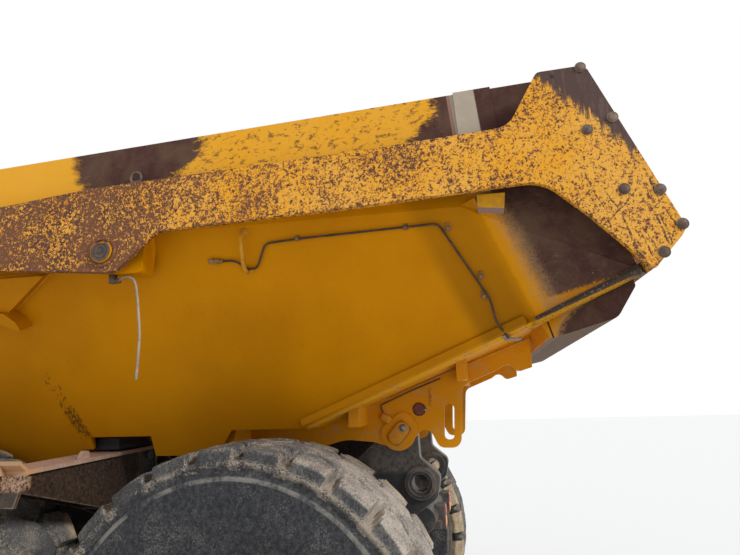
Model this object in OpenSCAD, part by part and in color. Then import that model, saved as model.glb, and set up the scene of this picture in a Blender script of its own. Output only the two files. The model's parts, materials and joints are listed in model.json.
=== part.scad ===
// Six-wheel articulated dump truck with an overhung tailgate, all sizes in millimetres.
// X is the truck's left, the front looks along -Y, Z is up and the ground is Z = 0.

/* [Wheels and axles] */
// Overall radius of a tyre, to the top of its lugs
tyre_r = 935; // [920:5:940]
// Width of a tyre
tyre_w = 750; // [700:10:780]
// Distance between the tyre centres of one axle
track = 2700; // [2650:10:2750]
// Distance from the front to the middle axle
wheelbase_front = 4270; // [4250:10:4350]
// Distance from the middle to the rear axle
wheelbase_rear = 2050; // [1950:10:2060]
// Shoulder lugs on each side of a tyre
lug_count = 25; // [24:1:28]
// Width of the groove between two lugs at its inner end
groove_w = 48; // [40:1:60]
// Depth of the tread grooves
groove_depth = 52; // [40:1:60]

/* [Dump body] */
// Outer half width over the body's top rails
rail_x = 1600; // [1580:5:1605]
// Depth of the top rails
rail_depth = 330; // [300:10:350]
// Thickness of the floor and wall plates
plate_t = 30; // [20:1:40]
// Underside of the level floor above the ground
floor_z = 1905; // [1895:5:1915]
// Slope of the duck tail
tail_angle = 21.6; // [18:0.1:24]
// Rise of the top rail towards the rear
rail_angle = 2.8; // [0:0.1:4]
// Radius of the smooth bend between the side panel and its flared cheek
bend_r = 520; // [300:10:600]

/* [Tailgate] */
// Outer half width over the tailgate arms
arm_x = 1700; // [1690:5:1710]
// Thickness of an arm
arm_t = 85; // [60:5:90]

/* [Cab and hood] */
// Underside of the cab floor
cab_floor = 1965; // [1950:5:1980]
// Height of the cab roof
cab_top = 3735; // [3650:5:3780]
// Outer half width of the cab
cab_x = 860; // [820:10:880]
// Thickness of the cab walls
cab_t = 60; // [40:5:80]
// Height of the hood
hood_top = 2680; // [2600:10:2750]
// Louvres in the front grille
louvre_count = 7; // [5:1:9]

/* [Hidden] */
$fn = 48;

yellow = [0.86, 0.60, 0.06];
steel_dark = [0.20, 0.21, 0.22];
rubber = [0.12, 0.12, 0.12];
glass = [0.45, 0.55, 0.60, 0.5];
grey = [0.55, 0.55, 0.54];
trim = [0.16, 0.16, 0.17];

// Axles along Y, from the middle of the overall length
rear_y = 3535;
middle_y = rear_y - wheelbase_rear;
front_y = middle_y - wheelbase_front;
bogie_y = (middle_y + rear_y) / 2;
axle_z = tyre_r;
wheel_x = track / 2;
hub_r = 140;

// Hinges of the moving pieces
hitch_y = -1450;
tube_z = 1150;
tip_y = rear_y + 620;
tip_z = 1855;
gate_y = rear_y - 713;
gate_z = 2818;
hoist_x = 265;
hoist_low = [500, 1000];
hoist_high = [2655, 1815];
steer_front = [600, hitch_y - 850];
steer_rear = [300, hitch_y + 150];
steer_z = 1250;
hood_y = -5330;
hood_z = 1470;
door_x = cab_x + 25;
door_y = -2070;
pin_r = 50;
pin_gap = 0.5;

// Places on the body, measured from the rear axle
function back(y) = rear_y + y;
function panel_x(z) = 850 + 0.515 * (z - 1620);
function rail_z(y) = 3462 + tan(rail_angle) * y;
function tail_z(y) = floor_z + tan(tail_angle) * (y - 150);
wall_foot = -3905;
wall_top = 3515;
function wall_y(z) = wall_foot - 0.121 * (z - floor_z);
bend_y = 1385;
lip_y = 1855;
lip_x = 1550;
lip_z = tail_z(lip_y);
knuckle_z = 2960;
knuckle_y = 1078;
beam_x = 600;
beam_t = 60;
beam_z = 1765;
pad_z = 1870;

function unit(v) = v / norm(v);

// Corner points [y, z, radius]: a corner with a radius is drawn as its arc
function corner_arc(a, b, c) =
    let (
        here = [b[0], b[1]],
        u = unit([a[0], a[1]] - here),
        v = unit([c[0], c[1]] - here),
        half = acos(u * v) / 2,
        o = here + unit(u + v) * b[2] / sin(half),
        from = here + u * b[2] / tan(half) - o,
        to = here + v * b[2] / tan(half) - o,
        start = atan2(from[1], from[0]),
        sweep = (atan2(to[1], to[0]) - start + 540) % 360 - 180,
        steps = max(2, ceil(abs(sweep) / 18))
    )
    [for (i = [0 : steps]) o + b[2] * [cos(start + sweep * i / steps), sin(start + sweep * i / steps)]];
function rounded(p) = [
    for (i = [0 : len(p) - 1])
        let (b = p[i], last = len(p) - 1)
            each (len(b) < 3 ? [b] : corner_arc(p[i == 0 ? last : i - 1], b, p[i == last ? 0 : i + 1]))
];

// A flat plate: corner points of one face in space, its thickness, and the way the thickness goes
module plate(points, t, way) {
    u = unit(points[1] - points[0]);
    raw = unit(cross(u, points[2] - points[0]));
    n = raw * way < 0 ? -raw : raw;
    v = cross(n, u);
    o = points[0];
    multmatrix([
        [u[0], v[0], n[0], o[0]],
        [u[1], v[1], n[1], o[1]],
        [u[2], v[2], n[2], o[2]],
        [0, 0, 0, 1]
    ])
        linear_extrude(t)
            polygon([for (p = points) [(p - o) * u, (p - o) * v]]);
}

// A piece drawn along +Z, turned to run from a to b with its X side level and facing outwards
module along(a, b) {
    w = unit(b - a);
    u = unit([w[1], -w[0], 0]);
    v = cross(w, u);
    multmatrix([
        [u[0], v[0], w[0], a[0]],
        [u[1], v[1], w[1], a[1]],
        [u[2], v[2], w[2], a[2]],
        [0, 0, 0, 1]
    ])
        children();
}

// An outline drawn on the side view (Y, Z), from x0 to x1
module side_outline(points, x0, x1) {
    translate([x0, 0, 0])
        rotate([90, 0, 90])
            linear_extrude(x1 - x0)
                polygon(points);
}

// An outline drawn on the rear view (X, Z), from y0 to y1
module rear_outline(points, y0, y1) {
    translate([0, y1, 0])
        rotate([90, 0, 0])
            linear_extrude(y1 - y0)
                polygon(points);
}

// An outline drawn on the plan (X, Y), from z0 to z1
module plan_outline(points, z0, z1) {
    translate([0, 0, z0])
        linear_extrude(z1 - z0)
            polygon(points);
}

// A round bar along X, Y or Z
module bar_x(x0, x1, y, z, r) {
    translate([x0, y, z])
        rotate([0, 90, 0])
            cylinder(h = x1 - x0, r = r);
}
module bar_y(y0, y1, x, z, r) {
    translate([x, y1, z])
        rotate([90, 0, 0])
            cylinder(h = y1 - y0, r = r);
}
module bar_z(z0, z1, x, y, r) {
    translate([x, y, z0])
        cylinder(h = z1 - z0, r = r);
}

// A box from its lowest to its highest corner
module block(low, high) {
    translate(low)
        cube(high - low);
}

// The same piece on both sides of the truck
module both_sides() {
    children();
    mirror([1, 0, 0]) children();
}

// Tyre with shoulder grooves that widen towards the sidewall, staggered from side to side, and
// slanting sipes that part the centre blocks
module tyre() {
    half = tyre_w / 2;
    pitch = 360 / lug_count;
    color(rubber)
        difference() {
            rotate([0, 90, 0])
                rotate_extrude($fn = 96)
                    polygon([
                        [345, -300], [365, -325], [480, -350], [620, -half], [760, -368],
                        [845, -352], [tyre_r - 15, -318], [tyre_r - 4, -200], [tyre_r, -80],
                        [tyre_r, 80], [tyre_r - 4, 200], [tyre_r - 15, 318], [845, 352],
                        [760, 368], [620, half], [480, 350], [365, 325], [345, 300],
                        [345, 265], [480, 290], [620, 315], [740, 300], [800, 240],
                        [800, -240], [740, -300], [620, -315], [480, -290], [345, -265]
                    ]);
            for (i = [0 : lug_count - 1], side = [-1, 1])
                rotate([-2.5 + (i + (1 - side) / 4) * pitch, 0, 0])
                    translate([side * (half + 20), 0, tyre_r + 10])
                        rotate([0, side * 12, 0])
                            mirror([side > 0 ? 1 : 0, 0, 0])
                                translate([0, 0, -groove_depth - 40])
                                    linear_extrude(groove_depth + 80)
                                        polygon([
                                            [0, -groove_w], [0, groove_w], [90, groove_w * 0.55],
                                            [300, groove_w * 0.5 - 28], [300, -groove_w * 0.5 - 28],
                                            [90, -groove_w * 0.6]
                                        ]);
            for (i = [0 : lug_count - 1])
                rotate([-2.5 + (i + 0.12) * pitch, 0, 0])
                    translate([0, 0, tyre_r])
                        rotate([0, 0, 62])
                            cube([30, 190, groove_depth * 1.4], center = true);
        }
}

// Rim with its deep well, the wheel disc and the stepped hub cover outside
module rim() {
    color(yellow)
        rotate([0, 90, 0])
            rotate_extrude($fn = 64)
                polygon([
                    [hub_r + pin_gap, -60], [230, -60], [250, 20], [300, 40], [300, -300],
                    [330, -310], [345, -330], [362, -330], [362, -305], [344.5, -292],
                    [344.5, 292], [362, 305], [362, 330], [345, 330], [330, 310], [300, 300],
                    [300, 110], [262, 110], [255, 200], [228, 215], [222, 262], [120, 275],
                    [112, 300], [0, 300], [0, 110], [hub_r + pin_gap, 110]
                ]);
}

module wheel_place(side, y) {
    translate([side * wheel_x, y, axle_z])
        rotate([0, 0, side > 0 ? 0 : 180])
            children();
}

// Axle housing with its differential, brake drums and the stubs that carry the wheels
module axle(y) {
    stub = wheel_x + 105;
    drum = wheel_x - 66;
    half = [
        [0, stub], [hub_r, stub], [hub_r, drum], [225, drum], [225, drum - 90], [205, drum - 100],
        [205, drum - 184], [150, drum - 274], [150, 430], [240, 330], [310, 260], [340, 150]
    ];
    color(steel_dark)
        translate([0, y, axle_z])
            rotate([0, 90, 0])
                rotate_extrude()
                    polygon(concat(
                        [for (p = half) [p[0], -p[1]]],
                        [for (i = [len(half) - 1 : -1 : 0]) half[i]]
                    ));
}

module bogie_axles() {
    axle(middle_y);
    axle(rear_y);
    color(steel_dark) {
        // Drive shafts with their yokes
        for (run = [[middle_y + 300, rear_y - 300], [-440, middle_y - 300]]) {
            bar_y(run[0], run[1], 0, axle_z + 90, 65);
            for (end = [run[0] + 60, run[1] - 130])
                bar_y(end, end + 70, 0, axle_z + 90, 92);
        }
        // Leading arms that guide the axles
        both_sides()
            for (y = [middle_y, rear_y])
                along([520, y - 100, axle_z + 40], [500, y - 640, axle_z + 105])
                    cylinder(h = norm([20, 540, 65]), r = 38);
    }
}

// Walking beams that join the middle and rear axle of a side
module equaliser_beams() {
    color(steel_dark)
        both_sides()
            side_outline(rounded([
                [middle_y - 170, 1000, 50], [middle_y + 200, 1000, 80], [bogie_y - 250, 895, 80],
                [bogie_y + 250, 895, 80], [rear_y - 200, 1000, 80], [rear_y + 170, 1000, 50],
                [rear_y + 170, 1130, 50], [bogie_y + 220, 1190, 60],
                [bogie_y - 220, 1190, 60], [middle_y - 170, 1130, 50]
            ]), 660, 790);
}

// One arm of the outrigger that carries the body's side: webs under a flange that rises to the
// frame, its forked tip, and the socket with its boss below the pad
module outrigger() {
    near = back(-1250);
    far = back(-1075);
    for (y = [near, far - 25])
        rear_outline([[555, 1320], [700, 1360], [1010, 1482], [1640, 1655], [1640, 1753], [500, 1790],
            [500, 1550], [555, 1550]], y, y + 25);
    rear_outline([[490, 1779], [1660, 1742], [1660, 1764], [490, 1801]], near - 20, far + 20);
    rear_outline([[1640, 1745], [1700, 1790], [1700, 1810], [1640, 1765]], near - 20, far + 20);
    rear_outline([[1640, 1744], [1698, 1600], [1716, 1600], [1662, 1744]], near - 20, far + 20);
    rear_outline([[1645, 1742], [1704, 1795], [1708, 1610]], near + 60, near + 85);
    rear_outline(rounded([[1160, 1740], [1265, 1740], [1225, 1818, 20], [1180, 1818, 20]]), far - 25, far);
    block([555, near, 1320], [600, far, 1780]);
    block([985, near, 1475], [1005, far, 1766]);
    for (x = [500, 690])
        block([x, far - 10, 1580], [x + 18, far + 20, 1785]);
    bar_y(far - 10, far + 26, 590, 1745, 26);
}

module rear_frame() {
    ear_y = back(735);
    ear_z = 1555;
    color(steel_dark) {
        both_sides() {
            // Side rail with its rise to the body hinge and the ear below it
            difference() {
                union() {
                    side_outline(rounded([
                        [-600, 1050], [back(-1000), 1180], [back(300), 1180, 200],
                        [back(640), 1330, 150], [back(835), 1470, 60], [back(860), 1600, 60],
                        [back(735), 1700, 40], [back(725), 1960, 90], [back(520), 1960, 90],
                        [back(480), 1820, 120], [back(200), 1560, 150], [-600, 1560]
                    ]), 450, 560);
                    bar_x(430, 580, ear_y, ear_z, 95);
                    bar_x(440, 570, tip_y, tip_z, 108);
                    // Flanges along the rail
                    block([430, -600, 1535], [585, back(150), 1560]);
                }
                bar_x(400, 600, tip_y, tip_z, pin_r + pin_gap);
                bar_x(400, 600, ear_y, ear_z, 52);
                bar_x(565, 600, ear_y, ear_z, 72);
            }
            outrigger();
            // Seat of the body's front pad
            side_outline([[-240, 1560], [110, 1560], [60, 1660], [-200, 1660]], 560, 690);
            block([560, -220, 1500], [600, 80, 1560]);
            // Lugs and pin of the hoist's lower end
            for (x = [hoist_x - 87, hoist_x + 62])
                side_outline(rounded([
                    [hoist_low[0] - 90, 1240], [hoist_low[0] - 90, 915, 80],
                    [hoist_low[0] + 75, 915, 75], [hoist_low[0] + 75, 1240]
                ]), x, x + 25);
            bar_x(hoist_x - 95, hoist_x + 95, hoist_low[0], hoist_low[1], pin_r);
            // Brackets of the arms that guide the axles
            for (y = [middle_y - 645, rear_y - 645])
                side_outline(rounded([
                    [y - 150, 1200], [y - 100, 985, 40], [y, 985, 30], [y, 1200]
                ]), 450, 560);
            // Trunnion that carries the walking beam
            bar_x(550, 665, bogie_y, 1050, 110);
            side_outline(rounded([
                [bogie_y - 220, 1200], [bogie_y - 110, 960, 60], [bogie_y + 110, 960, 60],
                [bogie_y + 220, 1200]
            ]), 450, 600);
            // Tail lamps on the rear cross tube
            block([190, back(700), 1250], [330, back(830), 1300]);
            block([200, back(800), 1250], [320, back(860), 1390]);
        }
        bar_x(-480, 480, back(735), 1330, 75);
        for (y = [-500, hoist_low[0] - 80, 2290])
            block([-460, y, 1230], [460, y + 150, 1480]);
        // Bearing that lets the hitch tube turn
        difference() {
            union() {
                bar_y(-1000, -560, 0, tube_z, 330);
                bar_y(-1000, -940, 0, tube_z, 372);
                block([-560, -700, 1050], [560, -560, 1560]);
            }
            bar_y(-1100, -400, 0, tube_z, 200 + pin_gap);
        }
    }
}

module body_pads() {
    color(rubber)
        both_sides() {
            block([560, back(-1250), 1801], [905, back(-1075), 1829]);
            block([568, back(-1243), 1829], [897, back(-1082), pad_z]);
            block([590, -200, 1660], [680, 60, beam_z - 5]);
        }
}

// Swivel between the two frames: an upright pin bore in front and the tube behind it
module hitch() {
    arm = [steer_rear[0] + 50, steer_rear[0] - 40];
    color(steel_dark)
        difference() {
            union() {
                bar_z(870, 1430, 0, hitch_y, 240);
                bar_z(1000, 1300, 0, hitch_y, 262);
                bar_y(hitch_y + 100, -540, 0, tube_z, 200);
                bar_y(-540, -500, 0, tube_z, 260);
                bar_y(-1040, -1005, 0, tube_z, 300);
                both_sides()
                    plan_outline(rounded([
                        [0, hitch_y - 100], [200, hitch_y - 50], [arm[0], steer_rear[1] - 40, 40],
                        [arm[0], steer_rear[1] + 50, 40], [arm[1], steer_rear[1] + 60, 40],
                        [0, hitch_y + 300]
                    ]), 1150, 1214);
            }
            bar_z(800, 1500, 0, hitch_y, 80 + pin_gap);
            bar_y(hitch_y + 260, -400, 0, tube_z, 130);
        }
}

module front_frame() {
    color(steel_dark) {
        both_sides() {
            side_outline(rounded([
                [-5150, 1130, 40], [front_y - 260, 1130, 60], [front_y - 160, 1290, 60],
                [front_y + 160, 1290, 60], [front_y + 260, 1130, 60], [-2045, 1130],
                [-2045, 1420], [-5150, 1420]
            ]), 330, 450);
            // Lug and upright pin of a steering cylinder
            plan_outline(rounded([
                [440, steer_front[1] - 120], [610, steer_front[1] - 75, 70],
                [675, steer_front[1] + 40, 70], [440, steer_front[1] + 100]
            ]), 1130, steer_z - 60);
            bar_z(1150, steer_z + 60, steer_front[0], steer_front[1], 25);
        }
        for (y = [-5150, -4300, -2300])
            block([-340, y, 1180], [340, y + 150, 1400]);
        // Fork that holds the hitch between two lugs
        block([-450, -2110, 780], [450, -2040, 1560]);
        rear_outline(rounded([[-330, 780], [330, 780], [250, 1170, 150], [330, 1560], [-330, 1560], [-250, 1170, 150]]),
            -2060, -1780);
        for (z = [780, 1450]) {
            bar_z(z, z + 80, 0, hitch_y, 260);
            plan_outline([[-450, -2055], [450, -2055], [250, hitch_y + 60], [-250, hitch_y + 60]],
                z, z + 80);
        }
        bar_z(780, 1530, 0, hitch_y, 80);
        bar_z(1530, 1556, 0, hitch_y, 130);
        // Deck that carries the cab, on four pedestals
        block([-900, -3400, 1900], [900, -2020, cab_floor]);
        for (y = [-3380, -2120], x = [-450, 360])
            block([x, y, 1420], [x + 90, y + 90, 1900]);
    }
}

module front_axle() {
    axle(front_y);
    color(steel_dark)
        both_sides() {
            // Suspension struts with their lower seats
            bar_z(1250, 1500, 610, front_y, 62);
            bar_z(1060, 1260, 610, front_y, 88);
            block([450, front_y - 90, 1380], [690, front_y + 90, 1470]);
            along([560, front_y + 60, axle_z + 40], [400, front_y + 650, axle_z + 145])
                cylinder(h = norm([160, 590, 105]), r = 42);
        }
}

module engine() {
    color(grey) {
        block([-380, -4900, 1420], [380, -3650, 2200]);
        block([-620, -5230, 1450], [620, -5060, 2300]);
        difference() {
            bar_y(-5070, -4915, 0, 1900, 400);
            bar_y(-4990, -4800, 0, 1900, 372);
        }
        bar_y(-5070, -4880, 0, 1900, 110);
        bar_y(-4500, -3900, 250, 2290, 130);
        block([-300, -3660, 1430], [300, -3150, 1800]);
    }
}

module side_tanks() {
    profile = rounded([[-2480, 1340, 60], [-2080, 1340, 60], [-2080, 1640, 60], [-2480, 1640, 60]]);
    color(yellow)
        both_sides() {
            side_outline(profile, 460, 900);
            bar_z(1630, 1680, 800, -2280, 45);
        }
    color(steel_dark)
        both_sides()
            for (x = [540, 780])
                side_outline(rounded([[-2490, 1330, 65], [-2070, 1330, 65], [-2070, 1650, 65],
                    [-2490, 1650, 65]]), x, x + 40);
}

// Wings over the front wheels, with the steps in front of them
module fenders() {
    top = cab_floor + 45;
    color(yellow)
        both_sides() {
            side_outline(rounded([
                [-4020, 1420, 20], [-3960, 1420, 20], [-3690, 1900, 300], [-3300, 1970, 200],
                [-2250, 1970, 200], [-1930, 1760, 12], [-1880, 1790, 12], [-2170, top, 220],
                [-3330, top, 240], [-3760, 1935, 340]
            ]), 905, 1725);
            block([900, -3400, 1700], [955, -2020, 1990]);
            // Ladder: outer and inner stringers with treads
            for (x = [915, 1420])
                side_outline(rounded([
                    [-4720, 660, 30], [-4620, 640, 30], [-4180, 1430], [-3990, 1430],
                    [-3990, 1520], [-4250, 1520, 40]
                ]), x, x + 30);
            for (step = [0 : 3])
                block([920, -4700 + step * 150, 700 + step * 260], [1440, -4470 + step * 150, 735 + step * 260]);
        }
}

module bumper() {
    color(yellow)
        difference() {
            union() {
                difference() {
                    side_outline(rounded([
                        [-5480, 830, 50], [-5400, 700, 40], [-5150, 700], [-5150, 1400],
                        [-5400, 1400, 40], [-5480, 1300, 60]
                    ]), -1450, 1450);
                    // Recess behind the towing jaw
                    rear_outline(rounded([
                        [-140, 800, 30], [140, 800, 30], [140, 1060, 30], [-140, 1060, 30]
                    ]), -5490, -5440);
                }
                // Lugs of the hood's tilt hinge
                both_sides()
                    side_outline(rounded([
                        [hood_y - 44, 1390], [hood_y - 24, hood_z + 30, 22],
                        [hood_y + 24, hood_z + 30, 22], [hood_y + 44, 1390]
                    ]), 455, 490);
                // Towing jaw
                for (z = [860, 960])
                    plan_outline(rounded([
                        [-120, -5430], [-80, -5550, 60], [80, -5550, 60], [120, -5430]
                    ]), z, z + 45);
            }
            both_sides()
                rear_outline(rounded([
                    [990, 1090, 50], [1360, 1090, 50], [1360, 1300, 50], [990, 1300, 50]
                ]), -5600, -5380);
            bar_z(800, 1030, 0, -5495, 25);
            rear_outline(rounded([
                [-650, 1140, 40], [650, 1140, 40], [650, 1310, 40], [-650, 1310, 40]
            ]), -5600, -5420);
        }
    color(grey)
        both_sides() {
            for (x = [1080, 1260])
                bar_y(-5440, -5375, x, 1195, 76);
            bar_x(480, 548, hood_y, hood_z, 15);
        }
}

// Side view of the cab, set in by d from its outer faces
function cab_side(d) = rounded([
    [-3330 + d, cab_floor + d, 30], [-2050 - d, cab_floor + d, 30], [-2000 - d, 2600, 200],
    [-2050 - d, cab_top - d, 90], [-2960 + d * 0.6, cab_top - d, 90], [-3330 + d, 2720, 60]
]);
function cab_plan(d) = rounded([
    [-cab_x + d, -3400 + d, 130], [cab_x - d, -3400 + d, 130], [cab_x - d, -1990 - d, 90],
    [-cab_x + d, -1990 - d, 90]
]);
door_line = rounded([[-3140, cab_floor + 60, 60], [-2120, cab_floor + 60, 60],
    [-2120, cab_top - 170, 60], [-2870, cab_top - 170, 60], [-3140, 2760, 60]]);

module cab_shell() {
    color(yellow) {
        difference() {
            intersection() {
                side_outline(cab_side(0), -cab_x, cab_x);
                plan_outline(cab_plan(0), cab_floor, cab_top);
            }
            intersection() {
                side_outline(cab_side(cab_t), -cab_x, cab_x);
                plan_outline(cab_plan(cab_t), cab_floor, cab_top);
            }
            // Windscreen, rear window, right window and door opening
            rear_outline(rounded([
                [-cab_x + 130, 2590, 60], [cab_x - 130, 2590, 60], [cab_x - 130, cab_top - 170, 60],
                [-cab_x + 130, cab_top - 170, 60]
            ]), -3500, -2990);
            rear_outline(rounded([
                [-cab_x + 150, 2600, 60], [cab_x - 150, 2600, 60], [cab_x - 150, cab_top - 220, 60],
                [-cab_x + 150, cab_top - 220, 60]
            ]), -2200, -1900);
            side_outline(rounded([[-3150, 2600, 50], [-2180, 2600, 50], [-2180, cab_top - 210, 60],
                [-2860, cab_top - 210, 60], [-3150, 2780, 60]]), -cab_x - 50, 0);
            side_outline(door_line, 0, cab_x + 50);
        }
        // Roof cap and the door's hinge eyes on the rear pillar
        side_outline(rounded([[-3010, cab_top - 95], [-2030, cab_top - 95], [-2050, cab_top, 40],
            [-2930, cab_top, 50]]), -cab_x + 90, cab_x - 90);
        for (z = [2245, 3245])
            difference() {
                union() {
                    bar_z(z, z + 70, door_x, door_y, 22);
                    block([cab_x - 30, door_y, z], [door_x, door_y + 20, z + 70]);
                }
                bar_z(z - 5, z + 75, door_x, door_y, 9 - pin_gap);
            }
        for (z = [2160, 3160])
            bar_z(z, z + 155, door_x, door_y, 9);
    }
}

module cab_glass() {
    color(glass) {
        side_outline([[-3302, 2650], [-3290, 2650], [-2990, cab_top - 120], [-3002, cab_top - 120]],
            -cab_x + 120, cab_x - 120);
        block([-cab_x + 145, -2080, 2595], [cab_x - 145, -2070, cab_top - 215]);
        side_outline([[-3150, 2590], [-2170, 2590], [-2170, cab_top - 200], [-2860, cab_top - 200],
            [-3150, 2800]], -cab_x + 20, -cab_x + 30);
    }
}

module cab_interior() {
    seat_z = cab_floor + cab_t;
    color(trim) {
        // Seat, its column and the armrests
        block([-270, -2750, seat_z + 360], [270, -2280, seat_z + 490]);
        side_outline(rounded([[-2390, seat_z + 440], [-2260, seat_z + 440], [-2150, seat_z + 1120, 50],
            [-2250, seat_z + 1160, 50]]), -250, 250);
        block([-200, -2700, seat_z], [200, -2340, seat_z + 370]);
        for (x = [-330, 275])
            side_outline(rounded([[-2700, seat_z + 620, 25], [-2330, seat_z + 620, 25],
                [-2330, seat_z + 680, 25], [-2700, seat_z + 680, 25]]), x, x + 55);
        for (x = [-310, 265])
            block([x, -2420, seat_z + 400], [x + 45, -2350, seat_z + 640]);
        // Dash with the steering column and wheel
        side_outline(rounded([[-3264, seat_z, 40], [-3060, seat_z], [-3000, seat_z + 560, 60],
            [-3080, seat_z + 680, 60], [-3264, seat_z + 700, 30]]), -600, 600);
        translate([0, -2960, seat_z + 760])
            rotate([-28, 0, 0]) {
                rotate_extrude()
                    translate([215, 0])
                        circle(r = 18, $fn = 16);
                for (turn = [90, 210, 330])
                    rotate([0, 0, turn])
                        translate([0, -16, -8])
                            cube([210, 32, 16]);
                translate([0, 0, -260]) cylinder(h = 270, r = 38);
            }
        // Side console with its levers
        block([-740, -2900, seat_z], [-480, -2300, seat_z + 560]);
        for (y = [-2800, -2650])
            bar_z(seat_z + 560, seat_z + 700, -620, y, 14);
    }
}

module exhaust() {
    color(steel_dark)
        translate([-1120, -2300, 0]) {
            translate([0, 0, cab_floor + 45]) cylinder(h = 860, r = 150);
            translate([0, 0, cab_floor + 905]) cylinder(h = 50, r1 = 150, r2 = 72);
            translate([0, 0, cab_floor + 955]) cylinder(h = 420, r = 72);
            // Intake stack with its cap, in front of the silencer
            translate([0, -520, cab_floor + 45]) cylinder(h = 700, r = 105);
            translate([0, -520, cab_floor + 745]) cylinder(h = 170, r = 60);
            translate([0, -520, cab_floor + 915]) cylinder(h = 90, r = 130);
        }
}

module rails_and_mirrors() {
    deck = cab_floor + 45;
    color(steel_dark)
        both_sides() {
            // Handrails on the wings
            for (y = [-3280, -2880])
                bar_z(deck, deck + 860, 1650, y, 18);
            for (z = [deck + 430, deck + 830])
                bar_y(-3310, -2850, 1650, z, 14);
            for (x = [1010, 1390])
                bar_z(deck, deck + 760, x, -3290, 17);
            bar_x(985, 1415, -3290, deck + 735, 13);
            // Mirror arms and heads beside the windscreen
            for (z = [2650, 2900])
                bar_x(cab_x, 1250, -3200, z, 15);
            bar_z(2600, 2950, 1235, -3200, 18);
            rear_outline(rounded([
                [1130, 2610, 40], [1340, 2610, 40], [1340, 2940, 40], [1130, 2940, 40]
            ]), -3250, -3205);
        }
}

module hood() {
    color(yellow) {
        difference() {
            intersection() {
                side_outline(rounded([
                    [-5400, 1500, 30], [-3410, 1500, 30], [-3410, hood_top, 60], [-5050, 2560, 260],
                    [-5400, 2400, 200]
                ]), -820, 820);
                rear_outline(rounded([
                    [-820, 1500], [820, 1500], [820, 2400, 60], [700, hood_top + 5, 160],
                    [-700, hood_top + 5, 160], [-820, 2400, 60]
                ]), -5400, -3400);
            }
            intersection() {
                side_outline(rounded([
                    [-5350, 1400], [-3350, 1400], [-3350, hood_top - 50], [-5040, 2512, 240],
                    [-5350, 2370, 170]
                ]), -770, 770);
                rear_outline(rounded([
                    [-770, 1400], [770, 1400], [770, 2390, 60], [665, hood_top - 45, 140],
                    [-665, hood_top - 45, 140], [-770, 2390, 60]
                ]), -5350, -3300);
            }
            // Grille opening and the slots beside the engine
            rear_outline(rounded([
                [-650, 1590, 50], [650, 1590, 50], [650, 2300, 50], [-650, 2300, 50]
            ]), -5500, -5300);
            for (y = [-4700 : 90 : -4160])
                side_outline(rounded([[y, 1900, 20], [y + 45, 1900, 20], [y + 45, 2180, 20],
                    [y, 2180, 20]]), -900, 900);
        }
        for (i = [0 : louvre_count - 1])
            side_outline([[-5392, 1600 + i * 100], [-5360, 1640 + i * 100], [-5360, 1660 + i * 100],
                [-5392, 1620 + i * 100]], -660, 660);
        for (x = [-230, 210])
            block([x, -5365, 1580], [x + 20, -5345, 2310]);
        // Eyes of the tilt hinge
        both_sides()
            difference() {
                side_outline(rounded([
                    [hood_y - 35, hood_z - 35, 34], [hood_y + 35, hood_z - 35, 34],
                    [hood_y + 35, 1530], [hood_y - 35, 1530]
                ]), 500, 540);
                bar_x(490, 550, hood_y, hood_z, 15 + pin_gap);
            }
    }
}

module cab_door() {
    frame = rounded([[-3133, cab_floor + 67, 55], [-2127, cab_floor + 67, 55],
        [-2127, cab_top - 177, 55], [-2864, cab_top - 177, 55], [-3133, 2757, 55]]);
    color(yellow) {
        difference() {
            side_outline(frame, cab_x - 45, cab_x);
            side_outline(rounded([[-3050, 2520, 50], [-2210, 2520, 50], [-2210, cab_top - 260, 50],
                [-2835, cab_top - 260, 50], [-3050, 2780, 50]]), cab_x - 60, cab_x + 50);
        }
        // Hinge leaves and handle
        for (z = [2170, 3170])
            difference() {
                union() {
                    bar_z(z, z + 70, door_x, door_y, 18);
                    block([cab_x - 10, -2190, z], [door_x + 5, -2130, z + 70]);
                    block([cab_x + 7, -2190, z], [door_x + 5, door_y, z + 70]);
                }
                bar_z(z - 5, z + 75, door_x, door_y, 9 + pin_gap);
            }
        block([cab_x - 5, -3080, 2420], [cab_x + 30, -2960, 2445]);
    }
}

module door_glass() {
    color(glass)
        side_outline([[-3060, 2510], [-2200, 2510], [-2200, cab_top - 250], [-2840, cab_top - 250],
            [-3060, 2785]], cab_x - 30, cab_x - 20);
}

module body_floor() {
    color(yellow) {
        plate([[-972, back(wall_foot), floor_z], [972, back(wall_foot), floor_z],
            [972, back(155), floor_z], [-972, back(155), floor_z]], plate_t, [0, 0, 1]);
        plate([[-1000, back(150), floor_z], [1000, back(150), floor_z],
            [1240, back(bend_y), tail_z(bend_y)], [lip_x + 10, back(lip_y), lip_z],
            [-lip_x - 10, back(lip_y), lip_z], [-1240, back(bend_y), tail_z(bend_y)]], plate_t, [0, 0, 1]);
    }
}

// Round fillet in the hollow between two plates whose outward faces have the normals n1 and n2
module bend_fillet(low, high, n1, n2) {
    w = unit(high - low);
    u = unit([w[1], -w[0], 0]);
    way = unit(n1 + n2);
    half = acos(n1 * n2) / 2;
    along(low, high)
        translate([0, 0, 4])
            rotate([0, 0, atan2(way * cross(w, u), way * u)])
                linear_extrude(norm(high - low) - 8)
                    polygon(concat([[-8, 0]], [
                        for (i = [-4 : 4])
                            bend_r * [1 / cos(half) - cos(half * i / 4), sin(half * i / 4)] - [1.5, 0]
                    ]));
}

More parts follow.
